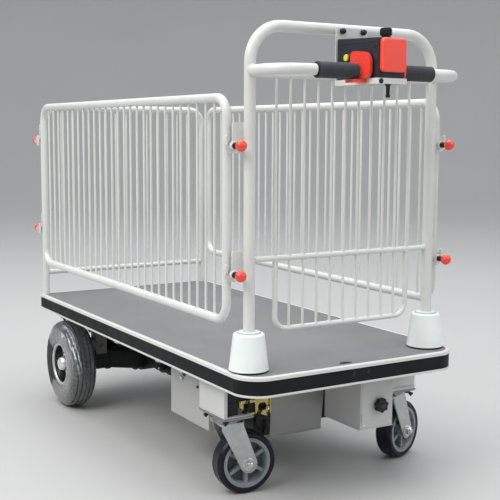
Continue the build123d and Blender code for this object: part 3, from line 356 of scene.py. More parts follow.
def film_tyre():
    """Rubber under clear stretch film drawn round the tyre; bare on the outer sidewall."""
    m = Mat("tyre_in_film")
    attr = m.t.nodes.new("ShaderNodeAttribute")
    attr.attribute_name = "film"
    film = attr.outputs["Fac"]
    x, y, z = m.sep()[0], m.sep()[1], m.sep()[2]
    dy = m.math("SUBTRACT", 0.001 * (446 + YC), y)
    dz = m.math("SUBTRACT", z, 0.132)
    ang = m.math("ARCTAN2", dz, dy)
    rad = m.math("SQRT", m.math("ADD", m.math("MULTIPLY", dy, dy), m.math("MULTIPLY", dz, dz)))
    along = m.comb(x, m.math("MULTIPLY", ang, 0.020), m.math("MULTIPLY", rad, 0.7))
    wide = m.comb(x, m.math("MULTIPLY", ang, 0.045), rad)
    rubber = m.mix(m.rng(m.noise(30.0, 5, 0.6), 0.3, 0.75), (0.010, 0.0105, 0.012), (0.024, 0.025, 0.027))
    # the film: thin haze, brighter drawn streaks that are painted highlights, milky patches, dust towards the floor
    haze = m.mix(m.rng(m.noise(22.0, 4, 0.6, vec=wide), 0.35, 0.68), (0.054, 0.056, 0.0575), (0.142, 0.146, 0.149))
    streak = m.noise(120.0, 5, 0.6, vec=along, distort=0.25)
    # painted highlights: coarse and fine bright streaks along the drawn film (this line and the two below)
    haze = m.mix(m.math("MULTIPLY", m.rng(streak, 0.56, 0.70), 0.55), haze, (0.21, 0.22, 0.23))
    fine = m.noise(420.0, 3, 0.6, vec=along)
    haze = m.mix(m.math("MULTIPLY", m.rng(fine, 0.58, 0.72), 0.30), haze, (0.16, 0.165, 0.17))
    milky = m.math("MULTIPLY", m.rng(m.noise(16.0, 3, 0.5), 0.55, 0.68), m.rng(streak, 0.42, 0.56))
    haze = m.mix(m.math("MULTIPLY", milky, 0.22), haze, (0.27, 0.28, 0.29))
    up_front = m.math("MULTIPLY", m.rng(ang, -0.25, 0.25, smooth=True), m.rng(ang, 1.55, 1.0, smooth=True))
    side = m.math("ABSOLUTE", m.math("ADD", x, -0.001 * XC))
    shoulder = m.math("MULTIPLY", m.rng(side, 0.283, 0.296, smooth=True), m.rng(rad, 0.080, 0.098, smooth=True))
    drawn = m.comb(x, m.math("MULTIPLY", ang, 0.0065), m.math("MULTIPLY", rad, 0.5))
    thin = m.noise(190.0, 3, 0.5, vec=drawn, distort=0.35)
    # the sipes and grooves of the tread are darkened under the film: painted shade in those recesses
    across = m.math("ABSOLUTE", m.math("SUBTRACT", side, 0.275))
    blocks = m.rng(m.math("FRACT", m.math("MULTIPLY", ang, 50 / (2 * math.pi))), 0.26, 0.36, 1.0, 0.0)
    blocks = m.math("MULTIPLY", blocks, m.math("MULTIPLY", m.rng(across, 0.026, 0.028), m.rng(rad, 0.112, 0.118)))
    groove = m.math("MAXIMUM", m.rng(m.math("ABSOLUTE", m.math("SUBTRACT", across, 0.0258)), 0.0026, 0.0010),
                    m.rng(m.math("ABSOLUTE", m.math("SUBTRACT", across, 0.0126)), 0.0024, 0.0010))
    groove = m.math("MULTIPLY", groove, m.rng(rad, 0.112, 0.118))
    # painted shade: darker colour in the sipes and grooves
    through = m.math("MULTIPLY", m.math("MAXIMUM", blocks, groove), m.rng(m.noise(20.0, 3, 0.5), 0.30, 0.62, 0.25, 0.75))
    haze = m.mix(through, haze, (0.022, 0.023, 0.025))
    # stretched upper front: darker and clearer, with two painted highlights drawn along the shoulder
    clear = m.math("MULTIPLY", m.math("MULTIPLY", up_front, m.rng(rad, 0.096, 0.112, smooth=True)), 0.55)
    haze = m.mix(clear, haze, (0.030, 0.033, 0.037))
    drop = m.math("SUBTRACT", 0.067, dz)
    wob = m.math("MULTIPLY", m.math("SUBTRACT", m.noise(34.0, 4, 0.6, vec=wide, distort=0.4), 0.5), 0.020)
    g1 = m.math("ABSOLUTE", m.math("ADD", m.math("SUBTRACT", side, 0.3090), m.math("ADD", m.math("MULTIPLY", drop, 0.13), wob)))
    g2 = m.math("ABSOLUTE", m.math("ADD", m.math("SUBTRACT", side, 0.2985), m.math("ADD", m.math("MULTIPLY", drop, 0.16), wob)))
    lines = m.math("MAXIMUM", m.rng(g1, 0.0040, 0.0012), m.math("MULTIPLY", m.rng(g2, 0.0030, 0.0008), 0.8))
    lines = m.math("MULTIPLY", lines, m.rng(m.noise(210.0, 4, 0.62, vec=along), 0.43, 0.53))
    glint = m.math("MULTIPLY", m.math("MULTIPLY", up_front, shoulder),
                   m.math("MAXIMUM", lines, m.math("MULTIPLY", m.rng(thin, 0.54, 0.60), 0.22)))
    # painted highlights: near-white glint lines and patches on the shoulder
    haze = m.mix(m.math("MULTIPLY", glint, 0.95), haze, (0.80, 0.84, 0.88))
    low = m.math("MULTIPLY", m.rng(z, 0.11, 0.03), m.rng(m.noise(60.0, 5, 0.65), 0.30, 0.65))
    haze = m.mix(m.math("MULTIPLY", low, 0.50), haze, (0.155, 0.148, 0.132))
    col = m.mix(film, rubber, haze)
    r = m.math("ADD", m.math("MULTIPLY", film, m.rng(m.noise(70.0, 3), 0.3, 0.7, -0.34, -0.20)), 0.54)
    folds = m.math("ADD", m.math("MULTIPLY", m.noise(70.0, 4, 0.55, vec=along, distort=0.5), 0.7),
                   m.math("MULTIPLY", m.noise(46.0, 3, 0.5, vec=wide, distort=1.2), 0.5))
    n1 = m.bump(m.math("MULTIPLY", folds, film), 0.55, 0.0045)
    n2 = m.bump(m.noise(480.0, 3), 0.10, 0.0005, n1)
    return m.finish(col, r, 0.0, n2, Coat_Weight=m.math("MULTIPLY", film, 0.9), Coat_Roughness=0.06,
                    Specular_IOR_Level=0.35)


M["mat"] = mat_top()
M["band"] = band()
M["foam"] = foam()
M["caster_tyre"] = caster_rubber()
M["film_tyre"] = film_tyre()
M["rim_silver"] = machined("rim_polished", (0.86, 0.86, 0.855), rough=0.27, metal=0.9, ring=500.0, wear=0.12)
M["rim_satin"] = machined("rim_satin_lip", (0.60, 0.585, 0.555), rough=0.36, metal=0.55, ring=500.0, wear=0.35)
# rear rims: polished metal given a dark base colour, which is painted shade and painted dark reflection
M["rim_polish_shaded"] = machined("rim_polish_painted_shade", (0.085, 0.088, 0.092), rough=0.22, metal=0.85, ring=600.0, wear=0.3)
# black for what is seen through openings: painted shadow
M["shade_black"] = plastic("window_shadow_black", (0.010, 0.010, 0.011), rough=0.7, gstr=0.3)
M["cable"] = plastic("cable_black", (0.014, 0.014, 0.016), rough=0.42, gstr=0.12)


# ---------------------------------------------------------------------------
# mesh helpers (millimetres, deck-centred)
# ---------------------------------------------------------------------------
def basis(axis, ref=None):
    z = Vector(axis).normalized()
    if ref is None:
        ref = Vector((0, 0, 1)) if abs(z.z) < 0.9 else Vector((1, 0, 0))
    x = (Vector(ref) - z * Vector(ref).dot(z)).normalized()
    y = z.cross(x)
    return x, y, z


class Piece:
    def __init__(self, name, material, body, slot=None, bevel=0.0, segs=2, angle=38.0, subsurf=0):
        self.name, self.material, self.body, self.slotname = name, material, body, slot
        self.bevel, self.segs, self.angle, self.subsurf = bevel, segs, angle, subsurf
        self.bm = bmesh.new()

    def add(self, verts, faces):
        vs = [self.bm.verts.new(v) for v in verts]
        out = []
        for f in faces:
            try:
                out.append(self.bm.faces.new([vs[i] for i in f]))
            except ValueError:
                pass
        return vs, out

    def lathe(self, prof, origin, axis=(0, 0, 1), n=32, ref=None, wob=0.0):
        """Turns (height, radius) pairs about the axis through origin."""
        x, y, z = basis(axis, ref)
        o = Vector(origin)
        verts, rings = [], []
        for h, r in prof:
            if r <= 1e-6:
                rings.append([len(verts)])
                verts.append(P(*(o + z * h)))
            else:
                ring = []
                for k in range(n):
                    a = 2 * math.pi * k / n
                    rr = r + (wob * (random.random() - 0.5) if wob else 0.0)
                    ring.append(len(verts))
                    verts.append(P(*(o + z * h + x * (rr * math.cos(a)) + y * (rr * math.sin(a)))))
                rings.append(ring)
        faces = []
        for a, b in zip(rings, rings[1:]):
            if len(a) == 1 and len(b) == 1:
                continue
            for k in range(n):
                k2 = (k + 1) % n
                if len(a) == 1:
                    faces.append((a[0], b[k2], b[k]))
                elif len(b) == 1:
                    faces.append((a[k], a[k2], b[0]))
                else:
                    faces.append((a[k], a[k2], b[k2], b[k]))
        if len(rings[0]) > 1:
            faces.append(tuple(reversed(rings[0])))
        if len(rings[-1]) > 1:
            faces.append(tuple(rings[-1]))
        return self.add(verts, faces)

    def prism(self, pts, origin, xd, yd, depth):
        """Extrudes a closed outline of (x, y) pairs by depth along xd x yd."""
        o, xd, yd = Vector(origin), Vector(xd).normalized(), Vector(yd).normalized()
        z = xd.cross(yd)
        n = len(pts)
        verts = [P(*(o + xd * a + yd * b)) for a, b in pts] + \
                [P(*(o + xd * a + yd * b + z * depth)) for a, b in pts]
        faces = [tuple(reversed(range(n))), tuple(range(n, 2 * n))]
        faces += [(k, (k + 1) % n, n + (k + 1) % n, n + k) for k in range(n)]
        return self.add(verts, faces)

    def box(self, lo, hi):
        pts = [(lo[0], lo[1]), (hi[0], lo[1]), (hi[0], hi[1]), (lo[0], hi[1])]
        return self.prism(pts, (0, 0, lo[2]), (1, 0, 0), (0, 1, 0), hi[2] - lo[2])

    def hex(self, origin, axis, r, h, chamfer=0.8, ref=None):
        """Hexagon head with a turned chamfer."""
        x, y, z = basis(axis, ref)
        o = Vector(origin)
        verts = []
        for hh, rr in ((0, r), (h - chamfer, r), (h, r - chamfer * 1.2)):
            for k in range(6):
                a = math.pi / 3 * k
                verts.append(P(*(o + z * hh + x * (rr * math.cos(a)) + y * (rr * math.sin(a)))))
        faces = [tuple(reversed(range(6))), tuple(range(12, 18))]
        for s in (0, 6):
            faces += [(s + k, s + (k + 1) % 6, s + 6 + (k + 1) % 6, s + 6 + k) for k in range(6)]
        return self.add(verts, faces)

    def tube(self, pts, r, n=10, closed=False, smooth=6):
        """Round tube along a smooth curve through the points."""
        p = [Vector(q) for q in pts]
        if smooth > 1:
            line = []
            m = len(p)
            segs = m if closed else m - 1
            for i in range(segs):
                if closed:
                    a, b, c, d = p[(i - 1) % m], p[i], p[(i + 1) % m], p[(i + 2) % m]
                else:
                    a, b, c, d = p[max(i - 1, 0)], p[i], p[i + 1], p[min(i + 2, m - 1)]
                for k in range(smooth):
                    t = k / smooth
                    line.append(0.5 * ((2 * b) + (c - a) * t + (2 * a - 5 * b + 4 * c - d) * t * t
                                       + (3 * b - a - 3 * c + d) * t ** 3))
            if not closed:
                line.append(p[-1])
        else:
            line = p
        count = len(line)
        t0 = (line[1] - line[0]).normalized()
        x, y, _ = basis(t0)
        verts = []
        for i in range(count):
            a = line[(i - 1) % count] if (closed or i > 0) else line[0]
            b = line[(i + 1) % count] if (closed or i < count - 1) else line[-1]
            t = (b - a).normalized()
            x = (x - t * x.dot(t)).normalized()
            y = t.cross(x)
            for k in range(n):
                ang = 2 * math.pi * k / n
                verts.append(P(*(line[i] + x * (r * math.cos(ang)) + y * (r * math.sin(ang)))))
        faces = []
        last = count if closed else count - 1
        for i in range(last):
            j = (i + 1) % count
            for k in range(n):
                k2 = (k + 1) % n
                faces.append((i * n + k, i * n + k2, j * n + k2, j * n + k))
        if not closed:
            faces.append(tuple(reversed(range(n))))
            faces.append(tuple((count - 1) * n + k for k in range(n)))
        return self.add(verts, faces)

    def ring(self, centre, axis, big, small, n=36, m=10, flat=1.0):
        x, y, z = basis(axis)
        c = Vector(centre)
        verts = []
        for i in range(n):
            a = 2 * math.pi * i / n
            d = x * math.cos(a) + y * math.sin(a)
            for j in range(m):
                b = 2 * math.pi * j / m
                verts.append(P(*(c + d * (big + small * math.cos(b)) + z * (small * flat * math.sin(b)))))
        faces = []
        for i in range(n):
            i2 = (i + 1) % n
            for j in range(m):
                j2 = (j + 1) % m
                faces.append((i * m + j, i2 * m + j, i2 * m + j2, i * m + j2))
        return self.add(verts, faces)

    def done(self, film=None):
        bmesh.ops.recalc_face_normals(self.bm, faces=self.bm.faces[:])
        me = bpy.data.meshes.new(self.name)
        self.bm.to_mesh(me)
        self.bm.free()
        me.polygons.foreach_set("use_smooth", [True] * len(me.polygons))
        me.set_sharp_from_angle(angle=math.radians(self.angle))
        ob = bpy.data.objects.new(self.name, me)
        bpy.context.scene.collection.objects.link(ob)
        me.materials.append(M[self.material])
        if film is not None:
            at = me.attributes.new("film", "FLOAT", "POINT")
            at.data.foreach_set("value", [film(v.co) for v in me.vertices])
        if self.bevel > 0:
            b = ob.modifiers.new("edge", "BEVEL")
            b.width = self.bevel * 0.001
            b.segments = self.segs
            b.limit_method = "ANGLE"
            b.angle_limit = math.radians(32)
            b.harden_normals = True
        if self.subsurf:
            s = ob.modifiers.new("round", "SUBSURF")
            s.levels = s.render_levels = self.subsurf
        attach(ob, self.body)
        return ob


# ---------------------------------------------------------------------------
# materials on the CAD nodes
# ---------------------------------------------------------------------------
LOOK = {
    "deck_tray": "paint", "deck_ribs": "paint_box", "bumper_band": "band", "deck_mat": "mat",
    "post_collars": "collar", "handle_hoop": "paint", "handle_grille": "paint", "handlebar": "paint",
    "grips": "foam", "control_bracket": "paint", "control_box": "dark", "emergency_pad": "red_pad_lit",
    "throttle_paddles": "red", "key_knob": "black", "indicator_button": "yellow",
    "selector_lever": "black_gloss", "far_gate_frame": "paint_gate", "far_gate_grille": "paint_gate",
    "latch_plates": "paint", "latch_plungers": "black_steel", "ball_knobs": "red",
    "caster_mounts": "paint_mount", "caster_plates": "zinc", "rear_axle": "paint_dark",
    "drive_motor": "black", "axle_brackets": "bracket_paint_shaded", "battery_box": "battery_paint_shaded",
    "side_box": "paint_box", "knob_box": "paint_light", "star_knob": "black",
    "relay_units": "black", "zinc_brackets": "gold",
    "gate_left_frame": "paint_gate", "gate_left_bars": "paint_gate",
    "gate_right_frame": "paint_gate", "gate_right_bars": "paint_gate",
}
for s in ("left", "right"):
    LOOK[f"caster_fork_{s}"] = "zinc"
    LOOK[f"caster_rim_{s}"] = "rim_grey"
    LOOK[f"caster_tyre_{s}"] = "caster_tyre"
    LOOK[f"rear_tyre_{s}"] = "film_tyre"
    LOOK[f"rear_rim_{s}"] = "rim_polish_shaded"
for node, look in LOOK.items():
    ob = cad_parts[node]
    if not ob.data.materials:
        ob.data.materials.append(M[look])
    for sl in ob.material_slots:
        sl.material = M[look]

# ---------------------------------------------------------------------------
# rounded edges on the folded and moulded CAD nodes
# ---------------------------------------------------------------------------
EDGE = {
    "caster_mounts": 1.0, "caster_plates": 0.6, "caster_fork_left": 1.3, "caster_fork_right": 1.3,
    "latch_plates": 0.8, "control_bracket": 0.8, "battery_box": 1.6, "side_box": 1.6, "knob_box": 1.6,
    "deck_ribs": 1.0, "axle_brackets": 1.2, "relay_units": 1.5, "zinc_brackets": 0.9, "star_knob": 1.2,
    "drive_motor": 1.8, "rear_axle": 1.6, "throttle_paddles": 2.2, "caster_rim_left": 0.8,
    "caster_rim_right": 0.8, "rear_rim_left": 0.9, "rear_rim_right": 0.9, "control_box": 0.8,
    "caster_tyre_left": 0.8, "caster_tyre_right": 0.8, "post_collars": 1.2,
}
for node, width in EDGE.items():
    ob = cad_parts[node]
    b = ob.modifiers.new("edge", "BEVEL")
    b.width = width * 0.001
    b.segments = 3 if width > 1.4 else 2
    b.limit_method = "ANGLE"
    b.angle_limit = math.radians(33)
    b.harden_normals = True


# ---------------------------------------------------------------------------
# weld beads
# ---------------------------------------------------------------------------
def bead(pc, centre, axis, big, small=1.3, n=14, m=6):
    """A slightly uneven ring of weld round a rod."""
    x, y, z = basis(axis)
    c = Vector(centre)
    verts = []
    for i in range(n):
        a = 2 * math.pi * i / n
        d = x * math.cos(a) + y * math.sin(a)
        s = small * (0.85 + 0.3 * random.random())
        for j in range(m):
            b = 2 * math.pi * j / m
            verts.append(P(*(c + d * (big + s * math.cos(b)) + z * (s * math.sin(b)))))
    faces = []
    for i in range(n):
        i2 = (i + 1) % n
        for j in range(m):
            j2 = (j + 1) % m
            faces.append((i * m + j, i2 * m + j, i2 * m + j2, i * m + j2))
    pc.add(verts, faces)


def seam(pc, a, b, r=1.3, wob=0.35):
    """A run of weld along a straight joint."""
    a, b = Vector(a), Vector(b)
    n = max(3, int((b - a).length / 4))
    pts = [a.lerp(b, k / n) + Vector([(random.random() - 0.5) * wob for _ in range(3)]) for k in range(n + 1)]
    pc.tube(pts, r, n=6, smooth=2)


YP, XPOST = -575.0, 251.7
XG, ZG0, ZG1, YG0, YG1 = 292.5, 428.5, 912.0, -548.0, 602.0
GRODS = [-495.0 + 40.31 * k for k in range(27)]

w = Piece("welds_handle", "paint", "chassis", angle=180)
for zc in (961.0, 564.0):
    for sx in (-1, 1):
        bead(w, (sx * (XPOST - 12.4), YP, zc), (1, 0, 0), 6.4, 1.8, n=18)
for k in range(11):
    x = (k - 5) * 37.0
    bead(w, (x, YP, 564 + 6.2), (0, 0, 1), 3.1)
    bead(w, (x, YP, 961 - 6.2), (0, 0, 1), 3.1)
for k in range(9):
    x = (k - 4) * 37.0
    bead(w, (x, YP, 564 - 6.2), (0, 0, 1), 3.1)
    bead(w, (x, YP, 405 + 5.9), (0, 0, 1), 3.1)
for sx in (-1, 1):
    bead(w, (sx * 185, YP, 564 - 6.0), (0, 0, 1), 6.1, 1.6, n=18)
    bead(w, (sx * XPOST, YP - 12.6, 968), (0, 1, 0), 12.0, 2.0, n=26)
    for z0 in (534, 810):
        for yy in (-568.4, -563.6):
            half = math.sqrt(12.7 ** 2 - (yy - YP) ** 2)
            seam(w, (sx * (XPOST + half + 0.2), yy, z0 - 12), (sx * (XPOST + half + 0.2), yy, z0 + 47), 1.4)
w.done()

w = Piece("welds_far_gate", "paint_gate", "chassis", angle=180)
for k in range(13):
    x = (k - 6) * 37.5
    bead(w, (x, 632, 399), (0, 0, 1), 3.1)
    bead(w, (x, 632, 902), (0, 0, 1), 3.1)
for sx in (-1, 1):
    bead(w, (sx * 273.2, 632, 391), (1, 0, 0), 8.1, 1.8, n=20)
    for z0 in (534, 810):
        seam(w, (sx * 292.6, 629.4, z0 - 10), (sx * 292.6, 629.4, z0 + 47), 1.3)
w.done()

for side, sx in (("left", -1), ("right", 1)):
    w = Piece(f"welds_gate_{side}", "paint_gate", f"gate_{side}", angle=180)
    for y in GRODS:
        bead(w, (sx * XG, y, ZG0 + 9.9), (0, 0, 1), 3.1)
        bead(w, (sx * XG, y, ZG1 - 9.9), (0, 0, 1), 3.1)
    for z0 in (534, 810):
        bead(w, (sx * 300.0, YG0 - 8.6, z0 + 12), (0.3 * sx, -1, 0), 3.6, 1.2)
        bead(w, (sx * 300.4, YG1 + 8.0, z0 + 8), (0.3 * sx, 1, 0), 3.6, 1.2)
    w.done()
    # rounded caps on the upright pins
    c = Piece(f"pin_caps_{side}", "paint", f"gate_{side}", angle=60)
    for z0 in (534, 810):
        c.lathe([(-1.0, 4.3), (1.2, 4.3), (2.4, 3.6), (3.2, 2.2), (3.5, 0)], (sx * 304, -566, z0 + 19.5), n=20)
        c.lathe([(-1.0, 4.3), (1.2, 4.3), (2.4, 3.6), (3.2, 2.2), (3.5, 0)], (sx * 304, 619, z0 + 12.0), n=20)
    c.done()

# ---------------------------------------------------------------------------
# collars
# ---------------------------------------------------------------------------
def turned(pc, prof, origin, axis=(0, 0, 1), n=40):
    """Closed ring section of (height, radius) pairs, turned about the axis."""
    x, y, z = basis(axis)
    o = Vector(origin)
    m = len(prof)
    verts = []
    for k in range(n):
        a = 2 * math.pi * k / n
        d = x * math.cos(a) + y * math.sin(a)
        verts += [P(*(o + z * h + d * r)) for h, r in prof]
    faces = []
    for k in range(n):
        k2 = (k + 1) % n
        for j in range(m):
            j2 = (j + 1) % m
            faces.append((k * m + j, k2 * m + j, k2 * m + j2, k * m + j2))
    pc.add(verts, faces)


g = Piece("collar_gaskets", "black", "chassis", angle=50)
c = Piece("collar_rims", "collar", "chassis", angle=40)
e = Piece("collar_steps", "collar_shade", "chassis", angle=40)
for sx in (-1, 1):
    o = (sx * XPOST, YP, 0)
    turned(g, [(319.7, 36.7), (319.7, 42.6), (320.6, 43.2), (323.3, 43.2), (323.3, 36.7)], o, n=64)
    # raised inner step: its riser coloured grey as painted shade, pale top
    turned(e, [(403.0, 24.2), (403.0, 27.0), (404.3, 27.0), (404.7, 26.2), (407.0, 25.2), (407.2, 24.2)], o, n=64)
    turned(c, [(402.5, 12.8), (407.4, 12.9), (407.8, 13.8), (407.8, 23.6), (407.3, 24.6), (406.6, 24.4), (402.5, 24.2)], o, n=64)
    turned(c, [(323.6, 43.2), (323.6, 44.4), (325.0, 44.7), (326.6, 44.0), (326.6, 43.0)], o, n=64)
g.done()
c.done()
e.done()

# half-round cable plug in the mat's edge
g = Piece("mat_plug", "black", "chassis", bevel=0.5)
pts = [(17 * math.cos(a), 13 * math.sin(a)) for a in [math.pi * k / 18 for k in range(19)]]
g.prism(pts, (-24, -626.5, 319.4), (1, 0, 0), (0, 1, 0), 1.1)
pts = [(8 * math.cos(a), 6.5 * math.sin(a)) for a in [math.pi * k / 12 for k in range(13)]]
g.prism(pts, (-24, -625.5, 320.4), (1, 0, 0), (0, 1, 0), 1.2)
g.done()

# ---------------------------------------------------------------------------
# bumper band: butt joint with its cover and two screws; skirt tabs with bolts
# ---------------------------------------------------------------------------
g = Piece("band_joint", "band", "chassis", bevel=0.25)
g.box((-39, -649.1, 281.5), (40, -648.2, 309.5))
g.done()
g = Piece("band_screws", "black_steel", "chassis", angle=40)
for x in (-20, 21):
    g.lathe([(0, 4.6), (0.9, 4.4), (1.6, 3.2), (1.8, 1.9), (1.0, 1.7), (1.0, 0)], (x, -649.0, 299.5), (0, -1, 0), n=24)
g.done()
t = Piece("skirt_tabs", "paint_box", "chassis", bevel=0.5)
b = Piece("skirt_bolts", "black_steel", "chassis", angle=35)
for sx in (-1, 1):
    for y in (266, 57, -201, 470, -330):
        x0, x1 = sorted((sx * 276.0, sx * 294.0))
        t.box((x0, y - 9, 267.5), (x1, y + 9, 270.5))
        x0, x1 = sorted((sx * 292.0, sx * 294.5))
        t.box((x0, y - 9, 268.0), (x1, y + 9, 276.0))
        b.hex((sx * 284.0, y, 267.6), (0, 0, -1), 5.6, 5.0)
        b.lathe([(0, 7.2), (1.2, 7.2), (1.2, 0)], (sx * 284.0, y, 268.0), (0, 0, -1), n=20)
        b.lathe([(0, 2.9), (8.4, 2.9), (9.0, 2.3), (9.0, 0)], (sx * 284.0, y, 268.0), (0, 0, -1), n=14)
t.done()
b.done()

# ---------------------------------------------------------------------------
# latches: sleeves, washers and a spring on each plunger
# ---------------------------------------------------------------------------
ENDS = ((-1, 288.5, -568.0, 23.0, 6.0, (534, 810)), (1, 299.0, 629.0, 10.5, 5.5, (534, 810)))
k1 = Piece("plunger_sleeves", "black", "chassis", angle=35)
k2 = Piece("plunger_washers", "bright", "chassis", angle=35)
for sy, xp, y0, ln, r, zs in ENDS:
    for sx in (-1, 1):
        for z0 in zs:
            o, ax = (sx * xp, y0, z0), (0, sy, 0)
            turned(k2, [(9.2, r), (9.2, r + 2.0), (10.0, r + 2.0), (10.0, r)], o, ax, n=24)
            step = (ln - 3.0) / 6
            for q in range(6):
                h = 1.6 + q * step
                turned(k1, [(h, r - 0.4), (h, r + 0.2), (h + step * 0.35, r + 0.5), (h + step * 0.7, r + 0.2),
                            (h + step * 0.7, r - 0.4)], o, ax, n=22)
            turned(k1, [(ln - 1.6, 4.2), (ln - 1.6, r + 0.7), (ln + 0.6, r + 0.5), (ln + 0.6, 4.2)], o, ax, n=24)
k1.done()
k2.done()
k4 = Piece("plunger_bosses", "paint", "chassis", angle=40)
for sy, xp, y0, ln, r, zs in ENDS:
    for sx in (-1, 1):
        for z0 in zs:
            deep = 9.0 if sy < 0 else 3.0
            turned(k4, [(0.2, r + 0.95), (0.2, 9.6), (deep - 1.0, 9.4), (deep, 8.4), (deep, r + 0.95)],
                   (sx * xp, y0, z0), (0, sy, 0), n=30)
k4.done()
k3 = Piece("ball_seams", "red", "chassis", angle=180)
for sy, xp, yb in ((-1, 288.5, -602.0), (1, 299.0, 650.5)):
    for sx in (-1, 1):
        for z0 in (534, 810):
            k3.ring((sx * xp, yb, z0), (1, 0, 0), 12.16, 0.24, n=40, m=6)
k3.done()

# ---------------------------------------------------------------------------
# control head
# ---------------------------------------------------------------------------
d = Piece("box_bezel", "dark", "chassis", bevel=0.6)
# raised frame behind the pad, lid seam, base strip
d.prism([(-36, 954.5), (34, 954.5), (34, 1035.5), (-36, 1035.5)], (0, -735.9, 0), (1, 0, 0), (0, 0, 1), 0.9)
d.box((-38.0, -733, 958.5), (-36.4, -600, 961.5))
d.box((34.4, -733, 958.5), (36.0, -600, 961.5))
d.box((-37.9, -733, 1029.0), (-36.6, -600, 1030.4))
d.box((34.6, -733, 1029.0), (35.9, -600, 1030.4))
d.done()
d = Piece("button_bezel", "black_gloss", "chassis", angle=35)
turned(d, [(0.0, 7.7), (0.0, 10.4), (1.6, 10.2), (2.4, 9.2), (2.4, 7.7)], (-37.0, -629, 1000), (-1, 0, 0), n=36)
d.done()
d = Piece("head_screws", "black_steel", "chassis", angle=35)
for y, z in ((-603, 1020), (-603, 966), (-722, 1020)):
    for x, ax in ((-37.0, -1), (35.0, 1)):
        d.lathe([(0, 3.2), (0.9, 3.1), (1.5, 2.2), (0.8, 1.5), (0.8, 0)], (x, y, z), (ax, 0, 0), n=18)
for x in (-31,):
    d.hex((x, -740.2, 946.6), (0, -1, 0), 4.6, 3.2)
    d.lathe([(0, 5.6), (0.9, 5.5), (0.9, 0)], (x, -740.0, 946.6), (0, -1, 0), n=22)
for x in (-24, 33):
    d.lathe([(0, 6.5), (6.4, 6.5), (8.2, 5.6), (9.4, 3.6), (9.7, 0)], (x, -590.6, 1061.0), (0, -1, 0), n=28)
d.done()
# knob: flutes, pointer and neck
d = Piece("knob_flutes", "black", "chassis", angle=60)
for k in range(20):
    a = 2 * math.pi * k / 20
    cx, cy = 1.6 + 11.9 * math.cos(a), -712 + 11.9 * math.sin(a)
    d.lathe([(0, 1.0), (11.5, 1.0), (12.6, 0.6), (12.8, 0)], (cx, cy, 1044.4), n=8)
d.box((0.4, -723.4, 1057.9), (2.8, -713, 1059.6))
turned(d, [(1037.6, 9.2), (1037.6, 12.6), (1039.6, 12.2), (1040.4, 11.0), (1040.4, 9.2)], (1.6, -712, 0), n=36)
d.done()
# foam neck between the grip and the paddle
d = Piece("grip_necks", "foam", "chassis", angle=60)
turned(d, [(0.0, 12.1), (0.0, 16.2), (6.0, 16.4), (13.0, 15.0), (14.0, 12.1)], (-71.6, -690, 968), (1, 0, 0), n=40)
d.done()
# foam grips: end flanges, faint mould ribs
d = Piece("grip_ends", "foam", "chassis", angle=60)
for x0, x1 in ((-71.0, -161.0), (60.0, 147.5)):
    s = 1 if x1 > x0 else -1
    for xx in (x0 + s * 1.8, x1 - s * 1.8):
        d.ring((xx, -690, 968), (1, 0, 0), 15.4, 1.9, n=48, m=10)
    for q in range(1, 9):
        d.ring((x0 + (x1 - x0) * q / 9.0, -690, 968), (1, 0, 0), 16.86, 0.32, n=48, m=6)
d.done()
d = Piece("bar_stops", "black", "chassis", angle=40)
for xx, s in ((-161.0, -1), (147.5, 1)):
    turned(d, [(0.0, 12.1), (0.0, 14.2), (2.2, 14.0), (3.0, 13.0), (3.0, 12.1)], (xx, -690, 968), (s, 0, 0), n=36)
d.done()
# selector lever: boot and tip
d = Piece("lever_boot", "black_gloss", "chassis", angle=50)
turned(d, [(948.8, 4.6), (948.8, 8.4), (945.6, 8.0), (941.0, 6.3), (938.0, 5.8), (938.0, 4.6)], (15.6, -705, 0), n=28)
turned(d, [(921.0, 3.6), (920.0, 5.0), (914.2, 5.0), (913.6, 4.2), (913.6, 3.6)], (15.6, -705, 0), n=24)
d.done()
# ---------------------------------------------------------------------------
# casters
# ---------------------------------------------------------------------------
TRAIL = 44.6
n1 = Piece("caster_nuts", "black", "chassis", bevel=0.4)
n2 = Piece("caster_races", "bright", "chassis", angle=40)
n3 = Piece("caster_copper", "copper", "chassis", bevel=0.3)
n4 = Piece("mount_bolts", "black_steel", "chassis", bevel=0.3)
for sx in (-1, 1):
    kx = sx * 240
    for dx in (-25, 25):
        for dy in (-42, 42):
            n1.hex((kx + dx, -456 + dy, 191.8), (0, 0, -1), 8.2, 8.6)
            n1.lathe([(0, 9.8), (1.4, 9.8), (1.4, 0)], (kx + dx, -456 + dy, 192.0), (0, 0, -1), n=22)
            n4.hex((kx + dx, -456 + dy, 199.0), (0, 0, 1), 7.0, 6.0)
    turned(n2, [(188.4, 30.0), (188.4, 33.4), (186.4, 34.0), (185.2, 33.2), (185.2, 30.0)], (kx, -456, 0), n=48)
for bx, by in ((-277.5, -426), (-275, -513), (257, -521.5)):
    n1.box((bx - 4.2, by - 4.2, 184.6), (bx + 4.2, by + 4.2, 190.4))
    n1.lathe([(0, 2.6), (2.6, 2.4), (2.6, 0)], (bx, by, 184.0), (0, 0, -1), n=14)
n3.hex((-283, -464, 190.6), (0, 0, -1), 4.2, 4.6)
n3.lathe([(0, 3.0), (9.0, 2.8), (9.6, 2.0), (9.6, 0)], (-283, -464, 191.4), (0, 0, -1), n=14)
n1.done()
n2.done()
n3.done()
n4.done()
# thin packing plates between mount and caster, their edges bare zinc
n7 = Piece("packing_plates", "zinc_dull", "chassis", bevel=0.35)
for sx in (-1, 1):
    x0, x1 = sx * 240 - 39.5, sx * 240 + 39.5
    n7.box((x0, -515.5, 193.6), (x1, -393.0, 195.9))
    n7.box((x0 + 2.0, -513.5, 190.6), (x1 - 2.0, -396.0, 193.0))
n7.done()
